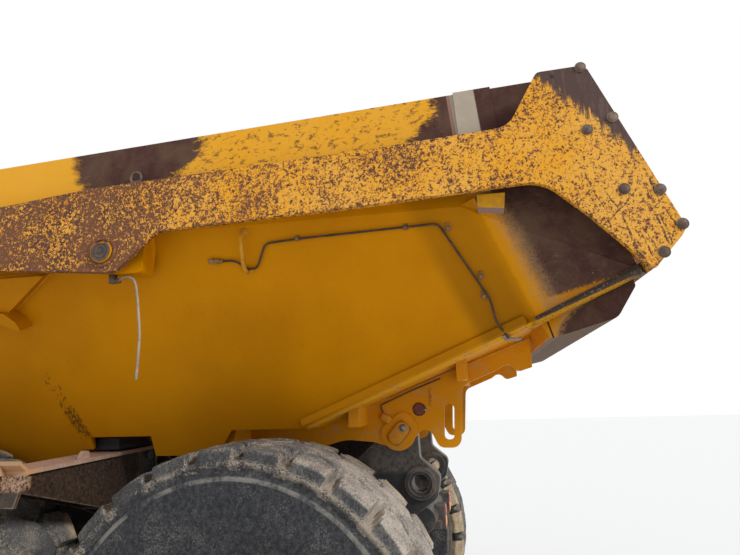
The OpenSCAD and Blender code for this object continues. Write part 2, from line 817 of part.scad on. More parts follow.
// Side of the body: inclined panel, flared cheek, upper wall, top rail and the ribs outside
module body_side() {
    low = floor_z + 2;
    cheek_z = tail_z(bend_y);
    head = wall_y(knuckle_z);
    front_z = rail_z(head);
    foot = [panel_x(low), back(150), low];
    knee = [panel_x(cheek_z), back(bend_y), cheek_z];
    lip = [lip_x, back(lip_y), lip_z];
    top = [panel_x(knuckle_z), back(knuckle_y), knuckle_z];
    color(yellow) {
        // Panel with its skirt below the floor, notched over the outrigger and its pad
        plate(concat(
            [for (e = [
                [wall_foot, low], [-3700, 1700], [-1300, 1700], [-1296, 1806], [-1222, 1806],
                [-1218, 1880], [-818, 1880], [-814, 1762], [-420, 1762], [-300, low]
            ]) [panel_x(e[1]), back(e[0]), e[1]]],
            [foot, knee, top, [panel_x(knuckle_z), back(head), knuckle_z]]
        ), plate_t, [-1, 0, 0]);
        plate([top, knee, lip], plate_t, [-1, 0, 0]);
        bend_fillet(knee, top, unit([1, 0, -0.515]), unit(cross(lip - knee, top - knee)));
        side_outline([[back(head), knuckle_z - 10], [back(1080), knuckle_z - 10],
            [back(lip_y - 5), lip_z], [back(1500), rail_z(1500)],
            [back(wall_y(front_z)), front_z]], 1495, 1545);
        // Top rail with the butt strap of its joint
        side_outline([[back(wall_y(front_z)), rail_z(-4000) - rail_depth],
            [back(1615), rail_z(1615) - rail_depth], [back(1490), rail_z(1490)],
            [back(wall_y(front_z)), front_z]], 1480, rail_x);
        side_outline([[back(1100), rail_z(1100) - rail_depth + 60],
            [back(1290), rail_z(1290) - rail_depth + 60], [back(1262), rail_z(1262) + 6],
            [back(1082), rail_z(1082) + 6]], 1490, rail_x + 8);
        // Chine bar along the foot of the rising tail and the worn bar up to the lip
        along(foot, knee)
            linear_extrude(norm(knee - foot))
                polygon([[-20, 8], [0, 8], [46, -16], [46, -52], [-60, -52], [-60, -20]]);
        along(knee, lip + [6, 10, 4])
            linear_extrude(norm(lip - knee) + 8)
                polygon([[-16, 18], [26, 22], [34, -2], [22, -26], [-30, -26]]);
        // Stiffener along the front half of the panel, cut slanting at its rear end
        plate([
            [panel_x(2797), back(-1204), 2797], [panel_x(2612), back(-1497), 2612],
            [panel_x(2612), back(-3960), 2612], [panel_x(2797), back(-3985), 2797]
        ], 62, [1, 0, 0]);
        plate([
            [panel_x(2625), back(-1490), 2625], [panel_x(2575), back(-1425), 2575],
            [panel_x(2530), back(-1408), 2530], [panel_x(2540), back(-1455), 2540],
            [panel_x(2598), back(-1600), 2598], [panel_x(2598), back(-3940), 2598],
            [panel_x(2625), back(-3945), 2625]
        ], 96, [1, 0, 0]);
        // Bracket and pin of the tailgate's pivot
        side_outline(rounded([
            [gate_y - 190, rail_z(-713) - 300], [gate_y - 110, 2725, 90],
            [gate_y + 165, 2722, 25], [gate_y + 190, rail_z(-713) - 300]
        ]), 1500, 1607);
        bar_x(1500, arm_x + 8, gate_y, gate_z, pin_r);
        difference() {
            bar_x(arm_x + 5, arm_x + 14, gate_y, gate_z, 58);
            block([arm_x, gate_y - 80, gate_z + 44], [arm_x + 20, gate_y + 80, gate_z + 90]);
        }
        // Block that the closed arm rests on
        side_outline([[back(1163), 2905], [back(1282), 2890], [back(1290), 2965], [back(1163), 2965]],
            1470, 1640);
    }
}

// Front wall with its channels
module body_front_wall() {
    corner = [[panel_x(floor_z) - 5, floor_z + 2], [panel_x(knuckle_z) - 15, knuckle_z],
        [1495, rail_z(-4050)], [1300, wall_top]];
    color(yellow) {
        plate(concat(
            [for (e = corner) [e[0], back(wall_y(e[1])), e[1]]],
            [for (i = [3 : -1 : 0]) [-corner[i][0], back(wall_y(corner[i][1])), corner[i][1]]]
        ), plate_t, [0, 1, 0]);
        for (row = [[2060, 1000], [2420, 1190], [2780, 1370], [3140, 1440]])
            plate([
                [-row[1], back(wall_y(row[0])), row[0]], [row[1], back(wall_y(row[0])), row[0]],
                [row[1], back(wall_y(row[0] + 120)), row[0] + 120],
                [-row[1], back(wall_y(row[0] + 120)), row[0] + 120]
            ], 70, [0, -1, 0]);
    }
}

module body_beams() {
    // Tilted oblong round the hinge pin: half length, half width
    function oblong(l, w) = rounded([[-l, -w, w * 0.8], [l, -w, w * 0.8], [l, w, w * 0.8], [-l, w, w * 0.8]]);
    lock_y = back(755);
    lock_z = 1994;
    color(yellow) {
        both_sides() {
            // Beam under the floor, widening at the rear into the hinge plate
            difference() {
                union() {
                    side_outline(rounded([
                        [back(-3850), 1800], [back(-3700), beam_z, 60], [back(-1345), beam_z, 20],
                        [back(-1310), pad_z + 7, 8], [back(-1015), pad_z + 7, 8],
                        [back(-980), beam_z, 20], [back(80), beam_z, 200],
                        [back(300), 1822, 200], [back(470), 1806], [back(560), 1780],
                        [back(690), 1790], [back(798), 1912, 52], [back(868), 1768, 50],
                        [back(995), 1766, 54], [back(1022), 2128, 58], [back(1240), 2214, 70],
                        [back(1306), 2262, 50], [back(1352), 2196, 40], [back(1440), 2222],
                        [back(1440), tail_z(1440)], [back(150), floor_z], [back(-3850), floor_z]
                    ]), beam_x, beam_x + beam_t);
                    bar_x(beam_x, beam_x + beam_t, tip_y, tip_z, 102);
                    translate([beam_x + beam_t, tip_y + 12, tip_z + 14])
                        rotate([38, 0, 0])
                            rotate([90, 0, 90])
                                linear_extrude(16)
                                    polygon(oblong(112, 82));
                }
                side_outline(rounded([
                    [back(897), 1808, 27], [back(957), 1812, 27], [back(968), 2022, 27],
                    [back(908), 2018, 27]
                ]), beam_x - 10, beam_x + beam_t + 10);
                bar_x(beam_x + 30, beam_x + beam_t + 10, lock_y, lock_z, 41);
            }
            // Hinge pin, its inner lug, and the body lock pin
            bar_x(400, beam_x + 30, tip_y, tip_z, pin_r);
            side_outline(rounded([[tip_y - 70, tip_z - 95, 60], [tip_y + 90, tip_z - 95, 60],
                [tip_y + 130, tail_z(760)], [tip_y - 110, tail_z(520)]]), 380, 425);
            bar_x(beam_x + 20, beam_x + beam_t + 6, lock_y, lock_z, 33);
            // Lugs and cross plate of the hoist's upper end
            for (x = [hoist_x - 87, hoist_x + 62])
                side_outline(rounded([
                    [hoist_high[0] - 150, floor_z], [hoist_high[0] - 90, 1735, 80],
                    [hoist_high[0] + 90, 1735, 80], [hoist_high[0] + 150, floor_z]
                ]), x, x + 25);
            for (x = [hoist_x - 99, hoist_x + 87])
                bar_x(x, x + 12, hoist_high[0], hoist_high[1], 60);
        }
        // Cross bearers under the floor and ribs under the tail
        for (y = [-3600, -2600, -1700, -400])
            block([-900, back(y), 1800], [900, back(y + 80), floor_z]);
        // Seats that rest on the outriggers' pads
        both_sides()
            block([562, back(-1246), pad_z + 6], [908, back(-1079), floor_z]);
        for (y = [380, 1000])
            side_outline([[back(y), tail_z(y) - 90], [back(y + 60), tail_z(y) - 90],
                [back(y + 60), tail_z(y + 60)], [back(y), tail_z(y)]], -950, 950);
        // Closed box under the lip, flared like the cheeks above it
        intersection() {
            side_outline(rounded([
                [back(1438), tail_z(1438)], [back(1480), 2322, 20], [back(1760), 2388, 45],
                [back(1838), 2520, 20], [back(1830), tail_z(1830)]
            ]), -lip_x, lip_x);
            plan_outline([
                [-1205, back(bend_y)], [1205, back(bend_y)], [lip_x - 42, back(lip_y)],
                [-lip_x + 42, back(lip_y)]
            ], 2200, 2600);
        }
    }
}

module tailgate() {
    arm = rounded([
        [back(-1950), 3055, 60], [back(-816), 3168], [back(677), 3225], [back(1325), 3262, 110],
        [back(1472), 3521, 30], [back(1690), 3528, 25], [back(2015), 2714, 28],
        [back(1862), 2552, 48], [back(1628), 2810, 420], [back(1450), 2983, 190],
        [back(669), 2939], [back(-425), 2902, 130], [back(-640), 2704, 105], [back(-1298), 2759],
        [back(-1950), 2795, 60]
    ]);
    gate_top = [back(1640), 3475];
    gate_foot = [back(1935), 2728];
    gate_run = unit(gate_foot - gate_top);
    color(yellow) {
        both_sides() {
            difference() {
                side_outline(arm, arm_x - arm_t, arm_x);
                bar_x(arm_x - arm_t - 10, arm_x + 10, gate_y, gate_z, pin_r + pin_gap);
                bar_x(arm_x - arm_t - 10, arm_x + 10, back(1541), 3488, 14);
            }
            // Raised ring round the pivot
            difference() {
                bar_x(arm_x - 5, arm_x + 6, gate_y, gate_z, 80);
                bar_x(arm_x - 15, arm_x + 10, gate_y, gate_z, 63);
            }
        }
        // Gate between the arms, with its stiffeners
        side_outline(rounded([
            gate_top, [back(1690), 3480, 20], [back(1992), 2722, 30], [back(1880), 2596, 22],
            [back(1852), 2628], [gate_foot[0], gate_foot[1], 20]
        ]), -arm_x + 20, arm_x - 20);
        for (u = [0.2, 0.48, 0.76])
            side_outline([for (k = [[-60, -20], [60, -20], [60, 55], [-60, 55]])
                gate_top + (gate_foot - gate_top) * u + gate_run * k[0]
                + [gate_run[1], -gate_run[0]] * k[1]], -arm_x + 50, arm_x - 50);
    }
}

function span(a, b) = norm(b - a);
hoist_rise = atan2(hoist_high[1] - hoist_low[1], hoist_high[0] - hoist_low[0]);
hoist_len = span(hoist_low, hoist_high);

module hoist_place(side) {
    translate([side * hoist_x, hoist_low[0], hoist_low[1]])
        rotate([hoist_rise - 90, 0, 0])
            children();
}

module hoist_barrel(side) {
    color(steel_dark)
        hoist_place(side)
            difference() {
                union() {
                    bar_x(-50, 50, 0, 0, 92);
                    translate([0, 0, 60]) cylinder(h = 100, r = 48);
                    translate([0, 0, 150]) cylinder(h = hoist_len - 350, r = 90);
                    translate([0, 0, hoist_len - 270]) cylinder(h = 70, r = 99);
                }
                bar_x(-60, 60, 0, 0, pin_r + pin_gap);
                translate([0, 0, 190]) cylinder(h = hoist_len, r = 72);
            }
}

module hoist_rod(side) {
    color(grey)
        hoist_place(side) {
            translate([0, 0, 215]) cylinder(h = hoist_len - 250, r = 52);
            translate([0, 0, 215]) cylinder(h = 60, r = 71);
            bar_x(-55, 55, 0, hoist_len, 62);
        }
}

steer_turn = atan2(steer_front[0] - steer_rear[0], steer_rear[1] - steer_front[1]);
steer_len = span(steer_front, steer_rear);

module steer_place(side) {
    translate([side * steer_front[0], steer_front[1], steer_z])
        rotate([0, 0, side * steer_turn])
            rotate([-90, 0, 0])
                children();
}

// A disc on the upright pin of a steering cylinder, where +Z of the cylinder runs along it
module upright(at, h, r) {
    translate([0, 0, at])
        rotate([90, 0, 0])
            translate([0, 0, -h / 2])
                cylinder(h = h, r = r);
}

module steer_barrel(side) {
    color(steel_dark)
        steer_place(side)
            difference() {
                union() {
                    upright(0, 84, 58);
                    translate([0, 0, 40]) cylinder(h = steer_len - 440, r = 52);
                    translate([0, 0, steer_len - 440]) cylinder(h = 40, r = 57);
                }
                upright(0, 100, 25 + pin_gap);
                translate([0, 0, 100]) cylinder(h = steer_len, r = 40);
            }
}

module steer_rod(side) {
    color(grey)
        steer_place(side) {
            translate([0, 0, 380]) cylinder(h = steer_len - 400, r = 28);
            translate([0, 0, 380]) cylinder(h = 30, r = 39);
            upright(steer_len, 58, 52);
        }
}

rear_frame();
body_pads();
equaliser_beams();
bogie_axles();
hitch();
front_frame();
front_axle();
engine();
side_tanks();
fenders();
bumper();
cab_shell();
cab_glass();
cab_interior();
exhaust();
rails_and_mirrors();
hood();
cab_door();
door_glass();
body_floor();
body_side();  // body_side_left
mirror([1, 0, 0]) body_side();  // body_side_right
body_front_wall();
body_beams();
tailgate();
hoist_barrel(1);  // hoist_barrel_left
hoist_barrel(-1);  // hoist_barrel_right
hoist_rod(1);  // hoist_rod_left
hoist_rod(-1);  // hoist_rod_right
steer_barrel(1);  // steer_barrel_left
steer_barrel(-1);  // steer_barrel_right
steer_rod(1);  // steer_rod_left
steer_rod(-1);  // steer_rod_right
wheel_place(1, front_y) tyre();  // tyre_front_left
wheel_place(-1, front_y) tyre();  // tyre_front_right
wheel_place(1, middle_y) tyre();  // tyre_middle_left
wheel_place(-1, middle_y) tyre();  // tyre_middle_right
wheel_place(1, rear_y) tyre();  // tyre_rear_left
wheel_place(-1, rear_y) tyre();  // tyre_rear_right
wheel_place(1, front_y) rim();  // rim_front_left
wheel_place(-1, front_y) rim();  // rim_front_right
wheel_place(1, middle_y) rim();  // rim_middle_left
wheel_place(-1, middle_y) rim();  // rim_middle_right
wheel_place(1, rear_y) rim();  // rim_rear_left
wheel_place(-1, rear_y) rim();  // rim_rear_right
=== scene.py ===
# Looks of a worn six-wheel articulated dump truck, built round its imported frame
import bpy
import json
import math
import numpy as np
from mathutils import Matrix


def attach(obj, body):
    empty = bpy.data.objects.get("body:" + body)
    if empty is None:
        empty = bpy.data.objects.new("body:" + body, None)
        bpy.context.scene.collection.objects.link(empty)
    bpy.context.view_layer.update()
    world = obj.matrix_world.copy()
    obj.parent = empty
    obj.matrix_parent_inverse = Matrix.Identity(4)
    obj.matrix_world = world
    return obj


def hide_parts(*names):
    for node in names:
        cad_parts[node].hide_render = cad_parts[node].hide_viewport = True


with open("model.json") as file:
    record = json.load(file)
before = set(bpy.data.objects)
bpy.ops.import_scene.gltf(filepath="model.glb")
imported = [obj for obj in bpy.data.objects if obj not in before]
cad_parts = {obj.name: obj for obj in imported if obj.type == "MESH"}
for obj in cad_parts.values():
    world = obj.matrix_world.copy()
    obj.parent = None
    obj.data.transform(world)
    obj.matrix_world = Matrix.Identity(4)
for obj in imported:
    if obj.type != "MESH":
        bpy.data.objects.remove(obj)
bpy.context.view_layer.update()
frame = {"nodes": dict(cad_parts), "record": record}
print("frame loaded")

# Camera: stands beside the rear wheels and looks up at the body's side
cameraSet = {
    "place": (4.127, 4.628, 2.032),  # metres
    "yaw": 10.12,  # degrees, turned from -X towards -Y
    "pitch": 12.81,
    "roll": -1.55,
    "lens": 27.06,  # millimetres
    "sensor": 36,
    "clip": (0.05, 500),
}

lightSet = {
    "sunStrength": 3.0,
    "sunAngle": 14,
    "sunFrom": (0.30, 0.75, 0.52),
    "skyStrength": 0.66,
    "skyTint": (0.94, 0.97, 1, 1),
}


def makeCamera():
    # Looks along (-cos yaw cos pitch, -sin yaw cos pitch, sin pitch), then rolls about that line
    yaw, pitch, roll = (math.radians(cameraSet[k]) for k in ("yaw", "pitch", "roll"))
    ahead = np.array([-math.cos(yaw) * math.cos(pitch), -math.sin(yaw) * math.cos(pitch), math.sin(pitch)])
    side = np.cross(ahead, [0, 0, 1])
    side /= np.linalg.norm(side)
    up = np.cross(side, ahead)
    c, s = math.cos(roll), math.sin(roll)
    turned = np.eye(4)
    turned[:3, 0] = c * side + s * up
    turned[:3, 1] = -s * side + c * up
    turned[:3, 2] = -ahead
    turned[:3, 3] = cameraSet["place"]
    data = bpy.data.cameras.new("camera")
    data.lens = cameraSet["lens"]
    data.sensor_width = cameraSet["sensor"]
    data.clip_start, data.clip_end = cameraSet["clip"]
    camera = bpy.data.objects.new("camera", data)
    bpy.context.scene.collection.objects.link(camera)
    camera.matrix_world = Matrix(turned.tolist())
    bpy.context.scene.camera = camera


def makeLight():
    # Soft sun from the rear left, a pale sky for its light, and plain white where the camera, a reflection
    # or glass looks at the sky
    sun = bpy.data.lights.new("sun", "SUN")
    sun.energy = lightSet["sunStrength"]
    sun.angle = math.radians(lightSet["sunAngle"])
    holder = bpy.data.objects.new("sun", sun)
    bpy.context.scene.collection.objects.link(holder)
    x, y, z = lightSet["sunFrom"]
    holder.rotation_euler = (math.atan2(math.hypot(x, y), z), 0, math.atan2(y, x) + math.pi / 2)
    world = bpy.data.worlds.new("sky")
    world.use_nodes = True
    tree = world.node_tree
    tree.nodes.clear()
    out = tree.nodes.new("ShaderNodeOutputWorld")
    plain = tree.nodes.new("ShaderNodeBackground")
    plain.inputs["Color"].default_value = (1, 1, 1, 1)
    soft = tree.nodes.new("ShaderNodeBackground")
    soft.inputs["Color"].default_value = lightSet["skyTint"]
    soft.inputs["Strength"].default_value = lightSet["skyStrength"]
    rays = tree.nodes.new("ShaderNodeLightPath")
    either = tree.nodes.new("ShaderNodeMath")
    either.operation = "MAXIMUM"
    third = tree.nodes.new("ShaderNodeMath")
    third.operation = "MAXIMUM"
    mix = tree.nodes.new("ShaderNodeMixShader")
    tree.links.new(rays.outputs["Is Camera Ray"], either.inputs[0])
    tree.links.new(rays.outputs["Is Glossy Ray"], either.inputs[1])
    tree.links.new(either.outputs[0], third.inputs[0])
    tree.links.new(rays.outputs["Is Transmission Ray"], third.inputs[1])
    tree.links.new(third.outputs[0], mix.inputs[0])
    tree.links.new(soft.outputs[0], mix.inputs[1])
    tree.links.new(plain.outputs[0], mix.inputs[2])
    tree.links.new(mix.outputs[0], out.inputs["Surface"])
    bpy.context.scene.world = world
    bpy.context.scene.view_settings.view_transform = "Standard"


# A form is its points, its four-sided faces and its three-sided faces
def form(points, quads=(), triangles=()):
    return (np.asarray(points, float).reshape(-1, 3), np.asarray(quads, int).reshape(-1, 4),
            np.asarray(triangles, int).reshape(-1, 3))


def joined(forms):
    # Forms set one after another, each face number raised by the points before it
    starts = np.cumsum([0] + [len(f[0]) for f in forms])
    return form(np.concatenate([f[0] for f in forms]),
                np.concatenate([f[1] + k for f, k in zip(forms, starts)]),
                np.concatenate([f[2] + k for f, k in zip(forms, starts)]))


def moved(shape, place=(0, 0, 0), turn=None):
    # point = turn x point + place
    points = shape[0] if turn is None else shape[0] @ np.asarray(turn).T
    return form(points + np.asarray(place, float), shape[1], shape[2])


def mirrored(shape):
    # x becomes -x, and faces run backwards so that they still look outwards
    return form(shape[0] * [-1, 1, 1], shape[1][:, ::-1], shape[2][:, ::-1])


def bothSides(shape):
    # A form of the left side together with its mirror image
    return joined([shape, mirrored(shape)])


def unit(v):
    # The vector divided by its length
    return np.asarray(v, float) / np.linalg.norm(v)


def aimed(axis, hint=(0, 0, 1)):
    # Columns: across = hint x axis, up = axis x across, and the axis itself
    w = unit(axis)
    u = unit(np.cross(hint, w))
    return np.column_stack([u, np.cross(w, u), w])


# Turns that stand a shape's z axis along the truck's left, and towards its rear
outwardTurn = aimed((1, 0, 0))
rearTurn = np.column_stack([[-1, 0, 0], [0, 0, 1], [0, 1, 0]])


def skin(rings, loop=False):
    # Faces between neighbouring rings of points; the ends close in a fan, or the last ring meets the first
    rings = np.asarray(rings, float)
    rows, count = rings.shape[:2]
    i, j = np.meshgrid(np.arange(rows if loop else rows - 1), np.arange(count), indexing="ij")
    k, m = (i + 1) % rows, (j + 1) % count
    quads = np.stack([i * count + j, i * count + m, k * count + m, k * count + j], -1).reshape(-1, 4)
    points = rings.reshape(-1, 3)
    if loop:
        return form(points, quads)
    j = np.arange(count)
    m = (j + 1) % count
    last = (rows - 1) * count
    low = np.stack([m, j, np.full(count, len(points))], -1)
    high = np.stack([last + j, last + m, np.full(count, len(points) + 1)], -1)
    return form(np.vstack([points, rings[0].mean(0), rings[-1].mean(0)]), quads, np.vstack([low, high]))


def turned(profile, count=20):
    # point = (radius cos angle, radius sin angle, height) for each profile row and angle
    profile = np.asarray(profile, float)
    angle = np.arange(count) * 2 * math.pi / count
    return skin(np.stack([profile[:, :1] * np.cos(angle), profile[:, :1] * np.sin(angle),
                          np.repeat(profile[:, 1:], count, 1)], -1))


def tube(path, radius, sides=10, loop=False):
    # Ring about each path point, square to the path, turned no more than the path turns it
    path = np.asarray(path, float)
    if loop:
        run = np.roll(path, -1, 0) - np.roll(path, 1, 0)
    else:
        run = np.gradient(path, axis=0)
    angle = np.arange(sides) * 2 * math.pi / sides
    radius = np.broadcast_to(radius, len(path))
    u = unit(np.cross(run[0], [0.31, 0.72, 0.62]))
    rings = []
    for point, w, r in zip(path, run, radius):
        w = unit(w)
        u = unit(u - w * (u @ w))
        rings.append(point + r * (np.outer(np.cos(angle), u) + np.outer(np.sin(angle), np.cross(w, u))))
    return skin(rings, loop)


def bentPath(points, radius, steps=6):
    # Each corner gives way to the curve (1-t)^2 a + 2t(1-t) corner + t^2 b
    points = np.asarray(points, float)
    out = [points[:1]]
    t = np.linspace(0, 1, steps)[:, None]
    for a, b, c in zip(points[:-2], points[1:-1], points[2:]):
        cutA = min(radius, np.linalg.norm(a - b) * 0.45)
        cutC = min(radius, np.linalg.norm(c - b) * 0.45)
        p, q = b + unit(a - b) * cutA, b + unit(c - b) * cutC
        out.append((1 - t) ** 2 * p + 2 * t * (1 - t) * b + t ** 2 * q)
    out.append(points[-1:])
    return np.vstack(out)


def lengthsAlong(points):
    # Distance run from the first point to each point
    return np.concatenate([[0], np.cumsum(np.linalg.norm(np.diff(points, axis=0), axis=1))])


def pointsAt(points, at):
    # Points of a line of corners at the given distances along it
    lengths = lengthsAlong(points)
    return np.column_stack([np.interp(at, lengths, column) for column in points.T])


def resampled(points, count):
    # Points at even distances along a line of corners
    points = np.asarray(points, float)
    return pointsAt(points, np.linspace(0, lengthsAlong(points)[-1], count))


def slab(outline, thick, edge):
    # Rings of one outline at six heights, the outer two at each end drawn in by the rounded edge
    outline = np.asarray(outline, float)
    along = np.roll(outline, -1, 0) - np.roll(outline, 1, 0)
    out = np.stack([along[:, 1], -along[:, 0]], -1)
    out /= np.linalg.norm(out, axis=1, keepdims=True)
    rings = []
    for inset, z in ((edge, 0), (edge * 0.3, edge * 0.3), (0, edge), (0, thick - edge),
                     (edge * 0.3, thick - edge * 0.3), (edge, thick)):
        flat = outline - out * inset
        rings.append(np.column_stack([flat, np.full(len(flat), z)]))
    return skin(rings)


def roundRect(wide, high, radius, steps=5):
    # Quarter circles of one radius round the corners of a rectangle
    angle = np.linspace(0, math.pi / 2, steps)
    parts = []
    for k, (x, y) in enumerate(((1, 1), (-1, 1), (-1, -1), (1, -1))):
        a = angle + k * math.pi / 2
        parts.append(np.column_stack([x * (wide / 2 - radius) + radius * np.cos(a),
                                      y * (high / 2 - radius) + radius * np.sin(a)]))
    return np.vstack(parts)


def box(low, high, edge=0.003):
    # Block between two corners, with rounded upright edges and both faces drawn in at their rims
    low, high = np.asarray(low, float), np.asarray(high, float)
    size = high - low
    return moved(slab(roundRect(size[0], size[1], edge, 3), size[2], edge),
                 [(low[0] + high[0]) / 2, (low[1] + high[1]) / 2, low[2]])


def addPiece(name, shape, material, body, corner=38, layers=None):
    # Mesh from whole arrays, smooth up to the corner angle, riding on its body; layers are point attributes
    points, quads, triangles = shape
    corners = np.concatenate([quads.ravel(), triangles.ravel()])
    totals = np.concatenate([np.full(len(quads), 4), np.full(len(triangles), 3)])
    mesh = bpy.data.meshes.new(name)
    mesh.vertices.add(len(points))
    mesh.loops.add(len(corners))
    mesh.polygons.add(len(totals))
    mesh.vertices.foreach_set("co", points.ravel())
    mesh.loops.foreach_set("vertex_index", corners.astype(np.int32))
    mesh.polygons.foreach_set("loop_start", (np.cumsum(totals) - totals).astype(np.int32))
    mesh.update(calc_edges=True)
    mesh.shade_smooth()
    mesh.set_sharp_from_angle(angle=math.radians(corner))
    for layer, values in (layers or {}).items():
        kind, key = ("FLOAT", "value") if values.ndim == 1 else ("FLOAT_VECTOR", "vector")
        mesh.attributes.new(layer, kind, "POINT").data.foreach_set(key, values.ravel())
    mesh.materials.append(material)
    piece = bpy.data.objects.new(name, mesh)
    bpy.context.scene.collection.objects.link(piece)
    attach(piece, body)
    return piece


class Graph:
    # A material's node tree with short calls for the nodes this truck uses
    def __init__(self, name):
        self.material = bpy.data.materials.new(name)
        self.material.use_nodes = True
        self.tree = self.material.node_tree
        self.tree.nodes.clear()
        self.out = self.tree.nodes.new("ShaderNodeOutputMaterial")
        self.shader = self.tree.nodes.new("ShaderNodeBsdfPrincipled")
        self.tree.links.new(self.shader.outputs[0], self.out.inputs["Surface"])
        self.place = self.tree.nodes.new("ShaderNodeTexCoord").outputs["Object"]
        split = self.tree.nodes.new("ShaderNodeSeparateXYZ")
        self.tree.links.new(self.place, split.inputs[0])
        self.x, self.y, self.z = split.outputs

    def feed(self, socket, value):
        if isinstance(value, bpy.types.NodeSocket):
            self.tree.links.new(value, socket)
        elif isinstance(value, (tuple, list)):
            socket.default_value = (*value, 1) if len(value) == 3 and socket.type == "RGBA" else value
        else:
            socket.default_value = value

    def stretch(self, scale, turn=(0, 0, 0)):
        # The object's own place, turned and scaled so that a noise runs in streaks
        node = self.tree.nodes.new("ShaderNodeMapping")
        node.inputs["Scale"].default_value = scale
        node.inputs["Rotation"].default_value = [math.radians(a) for a in turn]
        self.tree.links.new(self.place, node.inputs["Vector"])
        return node.outputs[0]

    def own(self, name, vector=False):
        # Layer of point values that the mesh carries
        node = self.tree.nodes.new("ShaderNodeAttribute")
        node.attribute_name = name
        return node.outputs["Vector" if vector else "Fac"]

    def edges(self, radius=0.008):
        # Where the surface turns within this radius: 1 - (rounded normal . normal)
        soft = self.tree.nodes.new("ShaderNodeBevel")
        soft.samples = 4
        soft.inputs["Radius"].default_value = radius
        node = self.tree.nodes.new("ShaderNodeNewGeometry")
        turn = self.tree.nodes.new("ShaderNodeVectorMath")
        turn.operation = "DOT_PRODUCT"
        self.tree.links.new(soft.outputs[0], turn.inputs[0])
        self.tree.links.new(node.outputs["Normal"], turn.inputs[1])
        return self.band(self.flip(turn.outputs["Value"]), 0.02, 0.16)

    def upward(self):
        # How far the surface faces up, from -1 to 1, without bumps
        node = self.tree.nodes.new("ShaderNodeNewGeometry")
        split = self.tree.nodes.new("ShaderNodeSeparateXYZ")
        self.tree.links.new(node.outputs["Normal"], split.inputs[0])
        return split.outputs[2]

    def noise(self, scale, detail=6, rough=0.6, twist=0, at=None):
        # Cloudy value about 0.5, read at the object's own place or at another vector
        node = self.tree.nodes.new("ShaderNodeTexNoise")
        self.feed(node.inputs["Vector"], at or self.place)
        values = {"Scale": scale, "Detail": detail, "Roughness": rough, "Distortion": twist}
        for key, value in values.items():
            node.inputs[key].default_value = value
        return node.outputs["Fac"]

    def cells(self, scale):
        # Distance to the nearest of many scattered points
        node = self.tree.nodes.new("ShaderNodeTexVoronoi")
        self.feed(node.inputs["Vector"], self.place)
        node.inputs["Scale"].default_value = scale
        return node.outputs["Distance"]

    def calc(self, kind, a, b=0.0):
        node = self.tree.nodes.new("ShaderNodeMath")
        node.operation = kind
        self.feed(node.inputs[0], a)
        self.feed(node.inputs[1], b)
        return node.outputs[0]

    def band(self, value, low, high, start=0.0, end=1.0):
        # start below low, end above high, and a smooth step between
        node = self.tree.nodes.new("ShaderNodeMapRange")
        node.interpolation_type = "SMOOTHSTEP"
        self.feed(node.inputs["Value"], value)
        for key, number in (("From Min", low), ("From Max", high), ("To Min", start), ("To Max", end)):
            self.feed(node.inputs[key], number)
        return node.outputs["Result"]

    def window(self, value, low, high, soft):
        # 1 between low and high and 0 outside, with soft ends
        rise = self.band(value, low - soft, low + soft)
        fall = self.band(value, high - soft, high + soft, 1, 0)
        return self.both(rise, fall)

    def both(self, a, b):
        return self.calc("MULTIPLY", a, b)

    def plus(self, a, b):
        return self.calc("ADD", a, b)

    def most(self, a, b):
        return self.calc("MAXIMUM", a, b)

    def flip(self, a):
        return self.calc("SUBTRACT", 1.0, a)

    def away(self, a):
        return self.calc("ABSOLUTE", a)

    def swing(self, value, reach):
        # A noise made to swing round nothing: (value - 0.5) x reach
        return self.both(self.calc("SUBTRACT", value, 0.5), reach)

    def blend(self, amount, first, second):
        # Colour: first + (second - first) x amount
        node = self.tree.nodes.new("ShaderNodeMix")
        node.data_type = "RGBA"
        self.feed(node.inputs[0], amount)
        self.feed(node.inputs[6], first)
        self.feed(node.inputs[7], second)
        return node.outputs[2]

    def number(self, amount, first, second):
        # The same for plain numbers
        node = self.tree.nodes.new("ShaderNodeMix")
        self.feed(node.inputs[0], amount)
        self.feed(node.inputs[2], first)
        self.feed(node.inputs[3], second)
        return node.outputs[0]

    def line(self, ax, ay, az, shift):
        # shift + ax x + ay y + az z, the signed distance from a slanting plane
        total = shift
        for factor, socket in ((ax, self.x), (ay, self.y), (az, self.z)):
            if factor:
                total = self.plus(self.both(socket, factor), total)
        return total

    def scratches(self, turn, scale=9, thin=0.006):
        # Long thin marks: narrow bands round the middle value of a stretched noise, broken by clouds
        drawn = self.noise(scale, 2, 0.5, 0, self.stretch((1, 0.10, 1), turn))
        broken = self.band(self.noise(5.3, 4, 0.6), 0.50, 0.58)
        return self.both(self.window(drawn, 0.5 - thin, 0.5 + thin, thin * 0.5), broken)

    def mark(self, y0, z0, y1, z1, half, ragged):
        # One straight mark in the side view: along and across its line from (y0, z0) to (y1, z1)
        long = math.hypot(y1 - y0, z1 - z0)
        dy, dz = (y1 - y0) / long, (z1 - z0) / long
        along = self.line(0, dy, dz, -dy * y0 - dz * z0)
        across = self.away(self.plus(self.line(0, -dz, dy, dz * y0 - dy * z0), ragged))
        return self.both(self.window(along, 0, long, 0.012), self.band(across, half, half * 0.3))

    def finish(self, colour, rough, height=None, depth=0.002, metal=0.0, shine=0.35):
        # Colour, roughness and metal into the shader, with the height as bumps of this depth in metres
        self.feed(self.shader.inputs["Base Color"], colour)
        self.feed(self.shader.inputs["Roughness"], rough)
        self.feed(self.shader.inputs["Metallic"], metal)
        self.shader.inputs["Specular IOR Level"].default_value = shine
        if height is not None:
            bump = self.tree.nodes.new("ShaderNodeBump")
            bump.inputs["Strength"].default_value = 1
            bump.inputs["Distance"].default_value = depth
            self.feed(bump.inputs["Height"], height)
            self.tree.links.new(bump.outputs[0], self.shader.inputs["Normal"])
        return self.material


